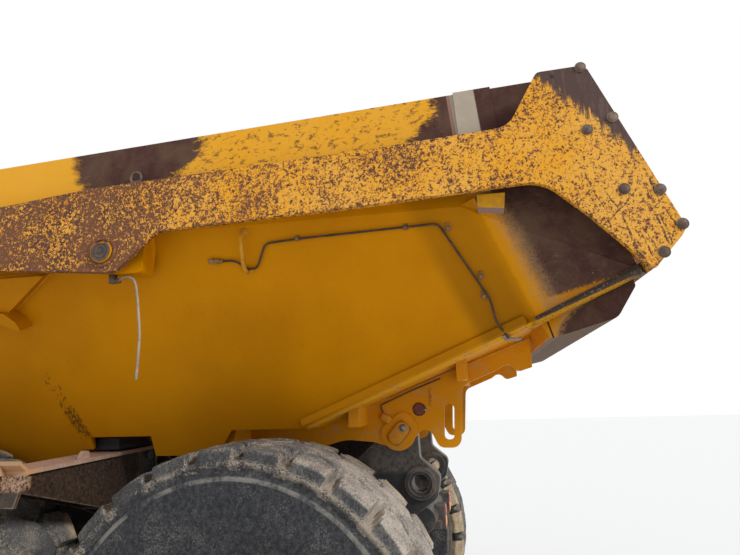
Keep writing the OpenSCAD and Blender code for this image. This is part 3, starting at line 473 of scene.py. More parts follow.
colours = {
    "panelYellow": (0.60, 0.232, 0.0),
    "panelDeep": (0.50, 0.186, 0.0),
    "mottle": (0.24, 0.09, 0.0),
    "dirt": (0.11, 0.05, 0.012),
    "sunYellow": (0.74, 0.33, 0.010),
    "sunDeep": (0.62, 0.27, 0.012),
    "paleYellow": (0.74, 0.37, 0.050),
    "rustOrange": (0.40, 0.125, 0.022),
    "rustBrown": (0.105, 0.043, 0.024),
    "rustPurple": (0.062, 0.027, 0.024),
    "bareSteel": (0.112, 0.064, 0.042),
    "bareGrey": (0.34, 0.27, 0.20),
    "wornTan": (0.42, 0.245, 0.105),
    "pinkDust": (0.36, 0.235, 0.175),
    "dust": (0.42, 0.31, 0.21),
    "darkPaint": (0.028, 0.030, 0.033),
    "blockTop": (0.105, 0.098, 0.088),
    "rubberDust": (0.27, 0.225, 0.175),
}


def panelPaint(g):
    # Ochre paint with faint mottling, fine dirt specks and a little dust
    soft = g.noise(1.3, 4, 0.55)
    fine = g.noise(38, 5, 0.7)
    speck = g.band(g.noise(110, 3, 0.6), 0.72, 0.77)
    spots = g.band(g.noise(23, 5, 0.65), 0.70, 0.76)
    tone = g.blend(g.band(soft, 0.35, 0.68), colours["panelYellow"], colours["panelDeep"])
    tone = g.blend(g.both(g.band(fine, 0.5, 0.8), 0.14), tone, colours["mottle"])
    tone = g.blend(g.both(g.most(speck, spots), 0.5), tone, colours["dirt"])
    return tone, g.band(fine, 0.3, 0.7, 0.46, 0.60)


def steelWear(g):
    # Bare steel with brown rust clouds, grit and scratches drawn along the machine
    cloud = g.noise(4.5, 8, 0.68, 0.4)
    grit = g.noise(120, 4, 0.7)
    drawn = g.band(g.noise(14, 6, 0.7, 0, g.stretch((9, 1, 9))), 0.60, 0.72)
    tone = g.blend(g.band(cloud, 0.36, 0.66), colours["rustPurple"], colours["bareSteel"])
    tone = g.blend(g.both(drawn, 0.35), tone, colours["bareGrey"])
    tone = g.blend(g.both(g.band(grit, 0.45, 0.75), 0.45), tone, colours["rustBrown"])
    return tone, g.band(grit, 0.3, 0.7, 0.5, 0.8)


# Here and below, four numbers a, b, c, d are the plane a x + b y + c z + d = 0, and two are the ends of a
# stretch in metres, along y, z or the distance from that plane
panelSet = {
    "bend": (0, 1, 0.517, -6.228),
    "wornPast": (0.056, 0.086),
    "palePast": (0.036, 0.125),
    "bendHighlightPast": (-0.012, 0.052),
    "bendShadeBefore": (-0.34, -0.035),
    "bendHighlightTone": (0.72, 0.30, 0.006),
    "bendShadeTone": (0.27, 0.105, 0.001),
    "lowShadeTone": (0.24, 0.095, 0.004),
    "strip": (0, -0.1759, 1, -1.5353),
    "stripTop": (0.106, 0.090),
    "stripFoot": (2.30, 2.31),
    "stripRear": (4.97, 5.06),
    "railFoot": (3.00, 3.03),
    "rail": (0, -0.049, 1, -3.19),
    "railFront": (2.60, 2.50),
    "railMiddle": (3.25, 4.46),
    "strap": (0, 1, 0.10, -0.345),
    "strapEnds": (4.605, 4.725),
    "strapSeam": (4.590, 4.606),
    "strapTone": (0.46, 0.40, 0.31),
    "seamTone": (0.42, 0.22, 0.17),
    "rub": (0, 1, 0.45, -3.139),
    "rubHeight": (1.86, 2.26),
    "rubCore": (1.90, 2.05),
    "rubTone": (0.060, 0.024, 0.008),
    "stopLength": (4.690, 4.835),
    "stopHeight": (2.80, 3.0),
    "stopSide": (1.556, 1.562),
    "stopTones": ((0.62, 0.30, 0.012), (0.50, 0.24, 0.03)),
    "stopRubbed": ((0.20, 0.125, 0.115), (0.42, 0.30, 0.27)),
    "chine": (0, -0.3959, 1, -0.4463),
    "chineLength": (3.70, 4.93),
    "chineTop": (-0.018, 0.010),
    "chineUnder": (-0.062, -0.019),
    "chineFoot": (-0.064, -0.054),
    "chineBright": ((0.62, 0.28, 0.006), (0.34, 0.20, 0.11)),
    "chineTan": ((0.40, 0.225, 0.115), (0.20, 0.105, 0.05)),
    "footTone": (0.05, 0.026, 0.016),
    "lipBar": (0, -0.3559, 1, -0.6443),
    "lipStart": (4.93, 4.96),
    "lipEnd": (5.30, 5.38),
    "lipFoot": (-0.060, 0.026),
    "lipFootTones": ((0.56, 0.26, 0.016), (0.12, 0.06, 0.03)),
    "lipGrey": ((0.070, 0.052, 0.040), (0.21, 0.175, 0.145)),
}


def cheekZones(g, speckle, rag):
    # Past the bend the paint thins out in tan specks and gives way to bare steel, apart from a strip at the
    # cheek's foot that narrows to the rear; a narrow band just past the bend is a painted highlight
    s = panelSet
    bend = g.plus(g.line(*s["bend"]), rag)
    level = g.plus(bend, g.swing(speckle, 0.20))
    pale = g.both(g.window(level, *s["palePast"], 0.022), g.band(speckle, 0.36, 0.56))
    bendHighlight = g.window(bend, *s["bendHighlightPast"], 0.012)
    strip = g.plus(g.line(*s["strip"]), g.both(rag, 0.8))
    strip = g.plus(strip, g.swing(speckle, 0.05))
    strip = g.both(g.band(strip, *s["stripTop"]), g.band(g.z, *s["stripFoot"]))
    return g.both(g.band(level, *s["wornPast"]), g.flip(strip)), pale, bendHighlight, strip


def rubMarks(g, paint):
    # Marks low on the panel, slanting down to the rear
    s = panelSet
    track = g.away(g.line(*s["rub"]))
    core = g.both(g.band(track, 0.075, 0.0, 0.0, 0.13), g.window(g.z, *s["rubCore"], 0.05))
    rub = g.plus(g.noise(62, 5, 0.75, 0, g.stretch((1, 1, 0.55), (24, 0, 0))), core)
    near = g.both(g.band(track, 0.055, 0.035), g.window(g.z, *s["rubHeight"], 0.04))
    return g.blend(g.both(g.both(g.band(rub, 0.53, 0.60), near), 0.85), paint, s["rubTone"])


def railLook(g, steel):
    # Bare rail that keeps paint on its front and middle stretches, more of it low down; pale butt strap
    s = panelSet
    sun = g.blend(g.noise(3, 5, 0.6), colours["sunYellow"], colours["paleYellow"])
    edge = g.swing(g.noise(11, 9, 0.75, 0, g.stretch((1, 0.45, 1))), 0.55)
    edge = g.plus(edge, g.both(g.line(*s["rail"]), -0.55))
    front = g.band(g.plus(g.y, g.both(edge, -0.7)), *s["railFront"])
    middle = g.window(g.plus(g.y, edge), *s["railMiddle"], 0.03)
    scraped = g.band(g.noise(30, 8, 0.78, 0, g.stretch((1, 0.6, 1), (28, 0, 0))), 0.52, 0.60)
    rail = g.blend(g.most(front, g.both(middle, g.flip(g.both(scraped, 0.8)))), steel, sun)
    strap = g.line(*s["strap"])
    rail = g.blend(g.both(g.window(strap, *s["strapSeam"], 0.003), 0.6), rail, s["seamTone"])
    pale = g.blend(g.noise(20, 6, 0.7), colours["bareGrey"], s["strapTone"])
    return g.blend(g.window(strap, *s["strapEnds"], 0.004), rail, pale)


def stopBlock(g, colour, speckle):
    # Stop block under the tailgate's arm, its lower face rubbed pale
    s = panelSet
    stop = g.both(g.window(g.y, *s["stopLength"], 0.002), g.band(g.away(g.x), *s["stopSide"]))
    stop = g.both(stop, g.window(g.z, *s["stopHeight"], 0.01))
    block = g.blend(g.band(g.noise(24, 6, 0.7), 0.45, 0.62), *s["stopTones"])
    block = g.blend(g.band(g.upward(), -0.45, -0.55), block, g.blend(speckle, *s["stopRubbed"]))
    return g.blend(stop, colour, block)


def chineBar(g, colour, speckle, rag):
    # Bright upper face, tan lower face and dark foot; behind them the worn bar up to the lip
    s = panelSet
    drop = g.line(*s["chine"])
    here = g.window(g.y, *s["chineLength"], 0.01)
    bar = g.noise(30, 7, 0.75, 0, g.stretch((1, 0.4, 1)))
    faces = (("chineTop", 0.52, 0.62, "chineBright"), ("chineUnder", 0.40, 0.60, "chineTan"))
    for zone, low, high, tones in faces:
        face = g.both(g.window(drop, *s[zone], 0.002), here)
        colour = g.blend(face, colour, g.blend(g.band(bar, low, high), *s[tones]))
    colour = g.blend(g.both(g.window(drop, *s["chineFoot"], 0.002), here), colour, s["footTone"])
    behind = g.band(g.plus(g.y, rag), *s["lipStart"])
    foot = g.both(g.window(drop, *s["lipFoot"], 0.002), behind)
    colour = g.blend(foot, colour, g.blend(g.band(speckle, 0.50, 0.66), *s["lipFootTones"]))
    below = g.band(drop, 0.030, 0.026)
    tail = g.both(g.both(g.band(g.line(*s["lipBar"]), 0.003, 0.007), below), behind)
    tail = g.most(tail, g.both(below, g.band(g.y, *s["lipEnd"])))
    grey = g.blend(g.band(g.noise(60, 5, 0.7), 0.52, 0.68), *s["lipGrey"])
    return g.blend(g.both(tail, g.band(drop, -0.07, -0.06)), colour, grey)


def panelMaterial():
    # Zones by place: clean panel, painted shade low down and just before the bend, a painted highlight just
    # past the bend, worn cheek past the bend, worn rail, stop block, chine bar
    g = Graph("bodySidePaint")
    s = panelSet
    paint, paintRough = panelPaint(g)
    steel, steelRough = steelWear(g)
    rag = g.swing(g.noise(16, 8, 0.75), 0.05)
    speckle = g.noise(105, 5, 0.72)
    worn, pale, bendHighlight, strip = cheekZones(g, speckle, rag)
    colour = rubMarks(g, paint)
    # Painted shade: the panel darkens towards its foot, from z 2.45 down to 1.75
    colour = g.blend(g.band(g.z, 2.45, 1.75, 0.0, 0.34), colour, s["lowShadeTone"])
    # Painted shade on the panel just before the bend, stronger lower down, and a painted highlight just past
    # the bend
    bendShade = g.both(g.window(g.line(*s["bend"]), *s["bendShadeBefore"], 0.05), g.band(g.z, 2.9, 2.4, 0.45, 0.75))
    colour = g.blend(bendShade, colour, s["bendShadeTone"])
    colour = g.blend(g.both(bendHighlight, 0.55), colour, s["bendHighlightTone"])
    colour = g.blend(worn, colour, steel)
    dots = g.both(g.band(g.noise(46, 3, 0.6), 0.69, 0.73), worn)
    colour = g.blend(g.both(dots, 0.45), colour, colours["bareGrey"])
    cuts = g.most(g.scratches((25, 0, 20), 21, 0.004), g.scratches((-60, 0, 0), 26, 0.004))
    colour = g.blend(g.both(g.both(cuts, worn), 0.14), colour, colours["bareGrey"])
    colour = g.blend(g.both(pale, 0.62), colour, colours["wornTan"])
    flecks = g.both(strip, g.both(g.band(speckle, 0.52, 0.60), g.band(g.y, *s["stripRear"])))
    colour = g.blend(flecks, colour, colours["wornTan"])
    above = g.band(g.z, *s["railFoot"])
    colour = g.blend(above, colour, railLook(g, steel))
    colour = stopBlock(g, colour, speckle)
    colour = chineBar(g, colour, speckle, rag)
    rough = g.number(g.most(worn, above), paintRough, steelRough)
    return g.finish(colour, rough, g.noise(60, 5, 0.6), 0.0008, shine=0.06)


# Start and end of each straight scratch on the tailgate's arm, and half its width
gateScratches = (
    (5.170, 3.000, 5.206, 2.882, 0.005), (5.241, 2.908, 5.300, 2.800, 0.004),
    (5.300, 2.800, 5.324, 2.697, 0.006), (5.324, 2.697, 5.342, 2.634, 0.010),
    (5.386, 2.971, 5.372, 2.908, 0.003), (5.372, 2.908, 5.309, 2.831, 0.003),
    (5.309, 2.831, 5.212, 2.751, 0.003), (5.191, 2.926, 5.232, 2.825, 0.003),
    (5.404, 2.930, 5.426, 2.839, 0.005), (5.425, 2.961, 5.449, 2.862, 0.007),
    (5.486, 2.874, 5.412, 2.796, 0.003), (5.454, 2.839, 5.520, 2.817, 0.006),
    (5.431, 2.794, 5.467, 2.652, 0.006), (5.450, 2.786, 5.481, 2.654, 0.005),
    (5.472, 2.809, 5.510, 2.725, 0.004), (5.360, 2.719, 5.398, 2.603, 0.004),
    (5.374, 2.737, 5.421, 2.628, 0.003), (5.334, 2.641, 5.372, 2.589, 0.008),
)

gateWear = {
    # A stretch in y, and the rust that its start and its end add
    "front": (2.85, 3.45, 0.094, 0.052),
    "middle": (3.1, 4.3, 0.0, -0.018),
    "rear": (4.75, 5.25, 0.0, -0.024),
    "scratched": (4.75, 5.05),
    "darker": (3.4, 4.6),
    "frontRust": (0.150, 0.060, 0.030),
    "rearRust": (0.100, 0.040, 0.024),
    "corner": (0, 0.781, 0.743, -6.502),
    "cornerTones": ((0.072, 0.038, 0.031), (0.105, 0.062, 0.050)),
    "hole": (5.070, 3.494, 5.082, 3.482, 0.012),
    "holeShadeTone": (0.008, 0.006, 0.005),
}


def gateMaterial():
    # Rust by place along the arm: thick at the front, thin in the middle, chips and scratches at the rear
    g = Graph("gatePaint")
    s = gateWear
    paint = g.blend(g.band(g.noise(2.2, 5, 0.6), 0.35, 0.65), colours["sunYellow"], colours["paleYellow"])
    fine = g.noise(112, 4, 0.70)
    middle = g.noise(44, 6, 0.74)
    broad = g.noise(5.5, 7, 0.68)
    drawn = g.noise(34, 7, 0.75, 0, g.stretch((1, 1, 0.16), (-22, 0, 0)))
    grain = g.plus(g.both(fine, 0.58), g.both(middle, 0.42))
    cover = g.plus(g.band(g.y, *s["front"]), g.band(g.y, *s["middle"]))
    cover = g.plus(cover, g.band(g.y, *s["rear"]))
    worn = g.both(g.edges(0.010), g.band(g.noise(30, 6, 0.7), 0.40, 0.55))
    cover = g.plus(cover, g.both(worn, 0.06))
    level = g.plus(g.plus(grain, g.swing(broad, 0.26)), cover)
    stain = g.band(level, 0.496, 0.556)
    ragged = g.swing(middle, 0.028)
    cuts = g.both(g.band(drawn, 0.645, 0.675), g.band(g.y, *s["scratched"]))
    for row in gateScratches:
        cuts = g.most(cuts, g.mark(*row, ragged))
    rust = g.most(g.band(level, 0.550, 0.584), g.both(cuts, g.band(grain, 0.40, 0.50)))
    colour = g.blend(g.both(stain, 0.70), paint, colours["rustOrange"])
    brown = g.blend(g.band(g.y, *s["darker"]), s["frontRust"], s["rearRust"])
    colour = g.blend(rust, colour, g.blend(g.band(broad, 0.4, 0.6), colours["rustPurple"], brown))
    # Bare top corner, its rim drawn out in streaks, and the hole near it painted as a near-black spot of
    # shade
    corner = g.plus(g.line(*s["corner"]), g.swing(drawn, 0.25))
    bare = g.blend(g.band(drawn, 0.50, 0.62), *s["cornerTones"])
    colour = g.blend(g.band(corner, -0.02, 0.02), colour, bare)
    colour = g.blend(g.mark(*s["hole"], 0.0), colour, s["holeShadeTone"])
    return g.finish(colour, g.number(rust, 0.5, 0.8), g.both(rust, -0.6), 0.0010, shine=0.25)


worksSet = {
    "lit": (0.78, 0.34, 0.012),
    # The box under the lip is bare behind y = boxEdge + boxCurve (z - boxFoot)^2
    "boxFoot": 2.33,
    "boxCurve": 5.2,
    "boxEdge": (5.040, 5.056),
    "boxFringe": (5.020, 5.075),
    "seam": (0, 1, 0.247, 0),
    "seamEnds": (5.5985, 5.6065),
    "seamTone": (0.030, 0.016, 0.010),
    "underside": (4.96, 5.04),
    "undersideTones": ((0.150, 0.082, 0.042), (0.085, 0.045, 0.024)),
    # y and z of both ends of each mark, and half its width: painted shade round the keeper and the lock pin,
    # grime along the weld
    "keeper": (4.118, 1.806, 4.210, 1.908, 0.060),
    "lockPin": (4.288, 1.994, 4.292, 1.995, 0.046),
    "weld": (4.359, 2.010, 4.360, 2.120, 0.010),
    "shadeAndGrimeTop": (2.16, 2.12),
    "shadeAndGrimeTone": (0.060, 0.024, 0.006),
}


def worksMaterial():
    # Body paint in the shade under the floor, with settled dust, and bare steel on the box below the lip
    g = Graph("worksYellow")
    s = worksSet
    paint, rough = panelPaint(g)
    steel, steelRough = steelWear(g)
    dust = g.band(g.noise(7, 7, 0.7), 0.50, 0.72)
    colour = g.blend(0.38, paint, s["lit"])
    colour = g.blend(g.both(dust, 0.38), colour, colours["dust"])
    rise = g.most(g.calc("SUBTRACT", g.z, s["boxFoot"]), 0.0)
    speck = g.noise(80, 5, 0.72)
    edge = g.calc("SUBTRACT", g.y, g.both(g.both(rise, rise), s["boxCurve"]))
    edge = g.plus(edge, g.swing(speck, 0.05))
    bare = g.band(edge, *s["boxEdge"])
    fringe = g.both(g.window(edge, *s["boxFringe"], 0.012), g.band(speck, 0.42, 0.56))
    colour = g.blend(bare, colour, steel)
    colour = g.blend(g.both(fringe, 0.65), colour, colours["wornTan"])
    groove = g.window(g.line(*s["seam"]), *s["seamEnds"], 0.002)
    colour = g.blend(g.both(groove, g.band(g.z, 2.30, 2.32)), colour, s["seamTone"])
    beneath = g.both(g.band(g.upward(), -0.70, -0.85), g.band(g.y, *s["underside"]))
    colour = g.blend(beneath, colour, g.blend(g.band(speck, 0.42, 0.60), *s["undersideTones"]))
    # Painted shade round the keeper and the lock pin, and grime along the short weld behind it
    ragged = g.swing(speck, 0.02)
    weld = g.both(g.mark(*s["weld"], ragged), g.band(speck, 0.46, 0.54))
    grime = g.most(g.most(g.mark(*s["keeper"], ragged), g.mark(*s["lockPin"], ragged)), weld)
    grime = g.both(grime, g.band(g.z, *s["shadeAndGrimeTop"]))
    colour = g.blend(g.both(grime, 0.88), colour, s["shadeAndGrimeTone"])
    return g.finish(colour, g.number(bare, rough, steelRough), g.noise(60, 5, 0.6), 0.0008, shine=0.08)


def plainPaint(name, base, dark, wear):
    # Paint in two soft tones, dusty in its grain, rust brown where it has chipped and on its edges
    g = Graph(name)
    soft = g.noise(1.7, 4, 0.6)
    fine = g.noise(30, 7, 0.75)
    chips = g.band(g.noise(21, 8, 0.8), wear, wear + 0.03)
    chips = g.most(chips, g.both(g.edges(), g.band(g.noise(26, 7, 0.75), 0.47, 0.56)))
    colour = g.blend(g.band(soft, 0.35, 0.68), base, dark)
    colour = g.blend(g.both(g.band(fine, 0.5, 0.8), 0.2), colour, colours["dust"])
    colour = g.blend(chips, colour, colours["rustBrown"])
    return g.finish(colour, g.band(fine, 0.3, 0.7, 0.4, 0.6), g.both(chips, -1), 0.0008)


darkSet = {
    "dusty": (0.14, 0.115, 0.090),
    "rust": (0.13, 0.055, 0.024),
    "edge": (0.27, 0.20, 0.14),
    # Outrigger: its stretch in y, its crest z = 1.794 - 0.0316 |x|, and its tones
    "arm": (2.255, 2.495),
    "armFoot": (1.30, 1.36),
    "armRoot": (0.62, 0.72),
    "crest": (1.792, 1.796),
    "web": ((0.012, 0.008, 0.006), (0.058, 0.034, 0.020)),
    "flange": (0.26, 0.165, 0.125),
    "tip": (1.50, 1.66),
    "tipTone": (0.40, 0.215, 0.10),
    "scuff": (1.60, 1.72),
    "scuffTone": (0.34, 0.20, 0.12),
    "earLength": (3.96, 4.46),
    "earHeight": (1.62, 2.0),
    "earDust": (0.17, 0.15, 0.125),
}


def darkMaterial():
    # Dusty dark paint with rust; pink dust on the outrigger's flange and tip, rust brown webs below; pale
    # edges, partly a painted highlight and partly wear
    g = Graph("frameDarkPaint")
    s = darkSet
    dusty = g.band(g.plus(g.noise(3.4, 8, 0.7), g.band(g.z, 0.6, 1.6, 0.1, -0.04)), 0.42, 0.66)
    rust = g.band(g.noise(17, 9, 0.8), 0.56, 0.66)
    colour = g.blend(dusty, colours["darkPaint"], s["dusty"])
    colour = g.blend(g.both(rust, 0.7), colour, s["rust"])
    out = g.away(g.x)
    arm = g.both(g.window(g.y, *s["arm"], 0.004), g.band(g.z, *s["armFoot"]))
    web = g.blend(g.band(g.noise(60, 7, 0.75), 0.36, 0.66), *s["web"])
    flange = g.blend(g.band(g.noise(40, 6, 0.7), 0.35, 0.65), s["flange"], colours["pinkDust"])
    flange = g.blend(g.band(out, *s["tip"]), flange, s["tipTone"])
    scuff = g.both(g.window(out, *s["scuff"], 0.01), g.band(g.z, 1.66, 1.68))
    web = g.blend(g.both(scuff, g.band(g.noise(60, 6, 0.75), 0.42, 0.56)), web, s["scuffTone"])
    colour = g.blend(g.both(arm, g.band(out, *s["armRoot"])), colour, web)
    ear = g.both(g.window(g.y, *s["earLength"], 0.02), g.window(g.z, *s["earHeight"], 0.02))
    ear = g.both(ear, g.band(g.noise(34, 6, 0.72), 0.36, 0.60, 0.15, 0.75))
    colour = g.blend(ear, colour, s["earDust"])
    crest = g.plus(g.both(out, 0.0316), g.z)
    colour = g.blend(g.both(arm, g.band(crest, *s["crest"])), colour, flange)
    # Pale tan edges: partly a painted highlight along them, partly worn and dusty edges
    edgeSheenAndWear = g.both(g.edges(0.010), g.band(g.noise(18, 6, 0.7), 0.36, 0.58))
    colour = g.blend(g.both(edgeSheenAndWear, 0.8), colour, s["edge"])
    return g.finish(colour, g.number(dusty, 0.45, 0.8), g.noise(90, 4, 0.6), 0.0012)


rubberSet = {
    "wall": ((0.020, 0.020, 0.022), (0.052, 0.053, 0.058)),
    "wallDust": (0.15, 0.14, 0.125),
    "shoulderDust": (0.12, 0.112, 0.10),
    "blockSide": (0.050, 0.051, 0.053),
    "blockLit": (0.36, 0.315, 0.265),
    "ridgeDust": (0.21, 0.195, 0.17),
    "innerBlocks": ((0.17, 0.130, 0.085), (0.42, 0.325, 0.215)),
    "innerOpening": (0.018, 0.017, 0.016),
    # Distances from the axle in metres
    "shoulder": (0.80, 0.86),
    "tread": (0.903, 0.915),
    "ring": (0.842, 0.868),
    "ridge": (0.784, 0.803),
    "innerStart": (0.80, 0.84),
    "hind": (2.45, 2.60),  # y past which a tyre stands in the low sun
    "inner": (1.12, 1.04),  # distance from the middle of the truck
}


def tyreMaterial():
    # Speckled sidewall with dusty ring and ridge, scuffed block tops, dusty grooves, paler inner shoulders;
    # painted sunlight on the rear tyres' rearward tread, painted shade (fewer scuffs) on the tyres ahead
    g = Graph("tyreRubber")
    s = rubberSet
    cut, rise, spin = g.own("cut"), g.own("rise"), g.own("spin", True)
    patch = g.noise(7, 6, 0.7)
    fine = g.noise(120, 5, 0.75)
    specks = g.noise(46, 6, 0.75)
    split = g.tree.nodes.new("ShaderNodeSeparateXYZ")
    g.tree.links.new(spin, split.inputs[0])
    rearward = split.outputs[0]
    grit = g.plus(g.both(fine, 0.6), g.both(patch, 0.4))
    wall = g.blend(g.band(specks, 0.38, 0.66), *s["wall"])
    wall = g.blend(g.both(g.band(grit, 0.53, 0.60), 0.60), wall, s["wallDust"])
    shoulder = g.both(g.band(rise, *s["shoulder"]), g.band(grit, 0.46, 0.56, 0.10, 0.70))
    wall = g.blend(shoulder, wall, s["shoulderDust"])
    hind = g.band(g.y, *s["hind"])
    top = g.blend(g.band(grit, 0.42, 0.58), s["blockSide"], colours["blockTop"])
    # Painted shade: the scuff dust on the block tops is only 0.35 as strong on the tyres ahead of the rear
    # ones
    scuffDustAndShade = g.both(g.band(grit, 0.50, 0.57), g.band(hind, 0.0, 1.0, 0.35, 1.0))
    top = g.blend(scuffDustAndShade, top, colours["rubberDust"])
    # Painted sunlight: paler tread on the rearward side of the rear tyres
    lit = g.both(g.band(rearward, 0.10, 0.75), g.band(grit, 0.42, 0.56, 0.25, 0.9))
    top = g.blend(g.both(lit, hind), top, s["blockLit"])
    colour = g.blend(g.band(rise, *s["tread"]), wall, top)
    ring = g.window(g.plus(rise, g.swing(patch, 0.02)), *s["ring"], 0.009)
    # The ring's dust spreads a little further on the rearward side, a touch of painted sunlight
    dusty = g.both(ring, g.band(g.plus(grit, g.both(rearward, 0.05)), 0.465, 0.55))
    colour = g.blend(g.both(dusty, 0.80), colour, colours["rubberDust"])
    ridge = g.both(g.window(rise, *s["ridge"], 0.004), g.band(patch, 0.36, 0.56))
    colour = g.blend(g.both(ridge, 0.8), colour, s["ridgeDust"])
    deep = g.both(g.band(cut, 0.12, 0.55), g.band(grit, 0.44, 0.55))
    colour = g.blend(g.both(deep, 0.9), colour, colours["rubberDust"])
    # Paler blocks with near-black openings on the inner shoulders, by distance from the middle of the truck
    inner = g.both(g.band(g.away(g.x), *s["inner"]), g.band(rise, *s["innerStart"]))
    blocks = g.blend(g.band(grit, 0.42, 0.58), *s["innerBlocks"])
    blocks = g.blend(g.band(cut, 0.10, 0.40), blocks, s["innerOpening"])
    colour = g.blend(inner, colour, blocks)
    return g.finish(colour, 0.86, grit, 0.0022, shine=0.2)


def glassMaterial():
    # Clear tinted glass with a little grime
    g = Graph("cabGlass")
    g.shader.inputs["Transmission Weight"].default_value = 0.9
    g.shader.inputs["IOR"].default_value = 1.45
    grime = g.noise(6, 6, 0.7)
    tone = g.blend(grime, (0.42, 0.48, 0.50), (0.30, 0.35, 0.36))
    return g.finish(tone, g.band(grime, 0.4, 0.8, 0.03, 0.2))


def chromeMaterial():
    # Polished metal, duller in fine clouds
    g = Graph("rodChrome")
    fine = g.noise(60, 4, 0.6)
    tone = g.blend(fine, (0.62, 0.62, 0.64), (0.50, 0.49, 0.48))
    return g.finish(tone, g.band(fine, 0.3, 0.7, 0.12, 0.25), metal=1.0)


def trimMaterial():
    # Dark cab trim with small pits
    g = Graph("cabTrim")
    tone = g.blend(g.noise(9, 5, 0.6), (0.030, 0.030, 0.033), (0.055, 0.052, 0.050))
    return g.finish(tone, 0.7, g.cells(420), 0.0006)


def rubberMaterial(name):
    # Dark rubber in two close tones
    g = Graph(name)
    tone = g.blend(g.noise(25, 6, 0.7), (0.012, 0.012, 0.014), (0.03, 0.028, 0.027))
    return g.finish(tone, 0.75, g.noise(80), 0.001)


def castMaterial():
    # Cast grey with brown stains
    g = Graph("castGrey")
    stain = g.band(g.noise(6, 7, 0.7), 0.45, 0.7)
    colour = g.blend(stain, (0.16, 0.16, 0.155), (0.09, 0.055, 0.035))
    return g.finish(colour, 0.65, g.noise(140, 5, 0.7), 0.0015)


def spotMaterial(name, first, second, rough, metal=0.0, grain=60):
    # Two tones mixed by clouds, with grit in the surface
    g = Graph(name)
    cloud = g.band(g.noise(14, 7, 0.7), 0.38, 0.64)
    grit = g.noise(grain, 5, 0.7)
    return g.finish(g.blend(cloud, first, second), g.band(grit, 0.3, 0.7, rough - 0.08, rough + 0.1), grit,
                    0.0006, metal=metal)


# Finishes that several pieces share, by name
finishes = {}


def dressFrame(tyre):
    # Every CAD node takes the finish of its own name, or else that of its slot
    panel, inner = panelMaterial(), worksMaterial()
    finishes.update(gate=gateMaterial(), dark=darkMaterial())
    bySlot = {
        "yellow_paint": plainPaint("machineYellow", colours["sunYellow"], colours["sunDeep"], 0.66),
        "dark_paint": finishes["dark"],
        "cast_grey": castMaterial(),
        "chrome_rod": chromeMaterial(),
        "rubber_pad": rubberMaterial("padRubber"),
        "cab_glazing": glassMaterial(),
        "cab_trim": trimMaterial(),
        "tyre_rubber": tyre,
    }
    byNode = {
        "body_side_left": panel,
        "body_side_right": panel,
        "body_front_wall": panel,
        "body_floor": inner,
        "body_beams": inner,
        "tailgate": finishes["gate"],
    }
    slots = {part["node"]: part["material_slot"] for part in frame["record"]["subparts"]}
    for node, thing in frame["nodes"].items():
        finish = byNode.get(node) or bySlot[slots[node]]
        for place in thing.material_slots:
            place.material = finish


def makeFloor():
    # Pale flat ground to stand on, which is stage and no part of the truck
    size = 60
    mesh = bpy.data.meshes.new("floor")
    corners = [(-size, -size, 0), (size, -size, 0), (size, size, 0), (-size, size, 0)]
    mesh.from_pydata(corners, [], [(0, 1, 2, 3)])
    floor = bpy.data.objects.new("floor", mesh)
    bpy.context.scene.collection.objects.link(floor)
    g = Graph("floorPale")
    floor.data.materials.append(g.finish((0.80, 0.80, 0.79), 0.9))


slopeSet = {"footX": 0.85, "footZ": 1.62, "slope": 0.515, "normal": (0.889, 0, -0.458)}


def panelPoint(y, z, lift=0.0):
    # On the inclined side panel x = footX + slope (z - footZ), lifted along its outward normal
    x = slopeSet["footX"] + slopeSet["slope"] * (z - slopeSet["footZ"])
    return np.array([x, y, z]) + np.array(slopeSet["normal"]) * lift


# Turn that lays a shape flat on the panel
panelTurn = aimed(slopeSet["normal"], (0, 1, 0))


def domeHead(radius, high, washer=1.25):
    # Profile of a domed head on its washer
    angle = np.linspace(0.12, math.pi / 2, 7)
    cap = [(radius * math.sin(a), 0.004 + high * math.cos(a)) for a in angle]
    rows = [(radius * washer * 0.9, -0.002), (radius * washer, 0.0), (radius * washer, 0.004)] + cap[::-1]
    return turned(rows, 22)


def hexHead(across, high):
    # Six sides with a chamfer on top, on a round washer
    rows = [(across * 0.62, -0.002), (across * 0.62, high * 0.2)]
    washer = turned(rows, 18)
    head = turned([(across * 0.5, high * 0.2), (across * 0.54, high * 0.25), (across * 0.54, high * 0.85),
                   (across * 0.44, high)], 6)
    return joined([washer, head])


boltSet = {
    "x": 1.7,
    "radius": 0.0195,
    "high": 0.007,
    "places": ((5.203, 3.517), (5.313, 3.252), (5.200, 3.204), (5.322, 2.91), (5.464, 2.894), (5.531, 2.734),
               (5.444, 2.618)),
}


def gateBolts(material):
    # One domed head on its washer, set at every bolt of the arms
    head = domeHead(boltSet["radius"], boltSet["high"], 1.3)
    heads = [moved(head, (boltSet["x"], y, z), outwardTurn) for y, z in boltSet["places"]]
    addPiece("gateBolts", bothSides(joined(heads)), material, "tailgate")


pivotSet = {
    "place": (1.714, 2.822, 2.818),
    "radius": 0.054,
    "flatTop": 0.042,  # height over the middle where the cap is cut flat
    # Share of the radius and distance out
    "section": ((1, -0.004), (1, 0.0015), (0.97, 0.003), (0.74, 0.003), (0.72, 0.0005), (0.66, 0.0005),
                (0.64, 0.0035), (0.36, 0.0035), (0.33, 0.001), (0.25, 0.001), (0.22, 0.006), (0.10, 0.0075)),
}


def pivotCaps(material):
    # Turned cap with two shallow grooves and a raised centre, cut flat on top
    r = pivotSet["radius"]
    rows = [(r * share, out) for share, out in pivotSet["section"]]
    shape = moved(turned(rows, 40), pivotSet["place"], outwardTurn)
    shape[0][:, 2] = np.minimum(shape[0][:, 2], pivotSet["place"][2] + pivotSet["flatTop"])
    addPiece("pivotCaps", bothSides(shape), material, "dump_body")


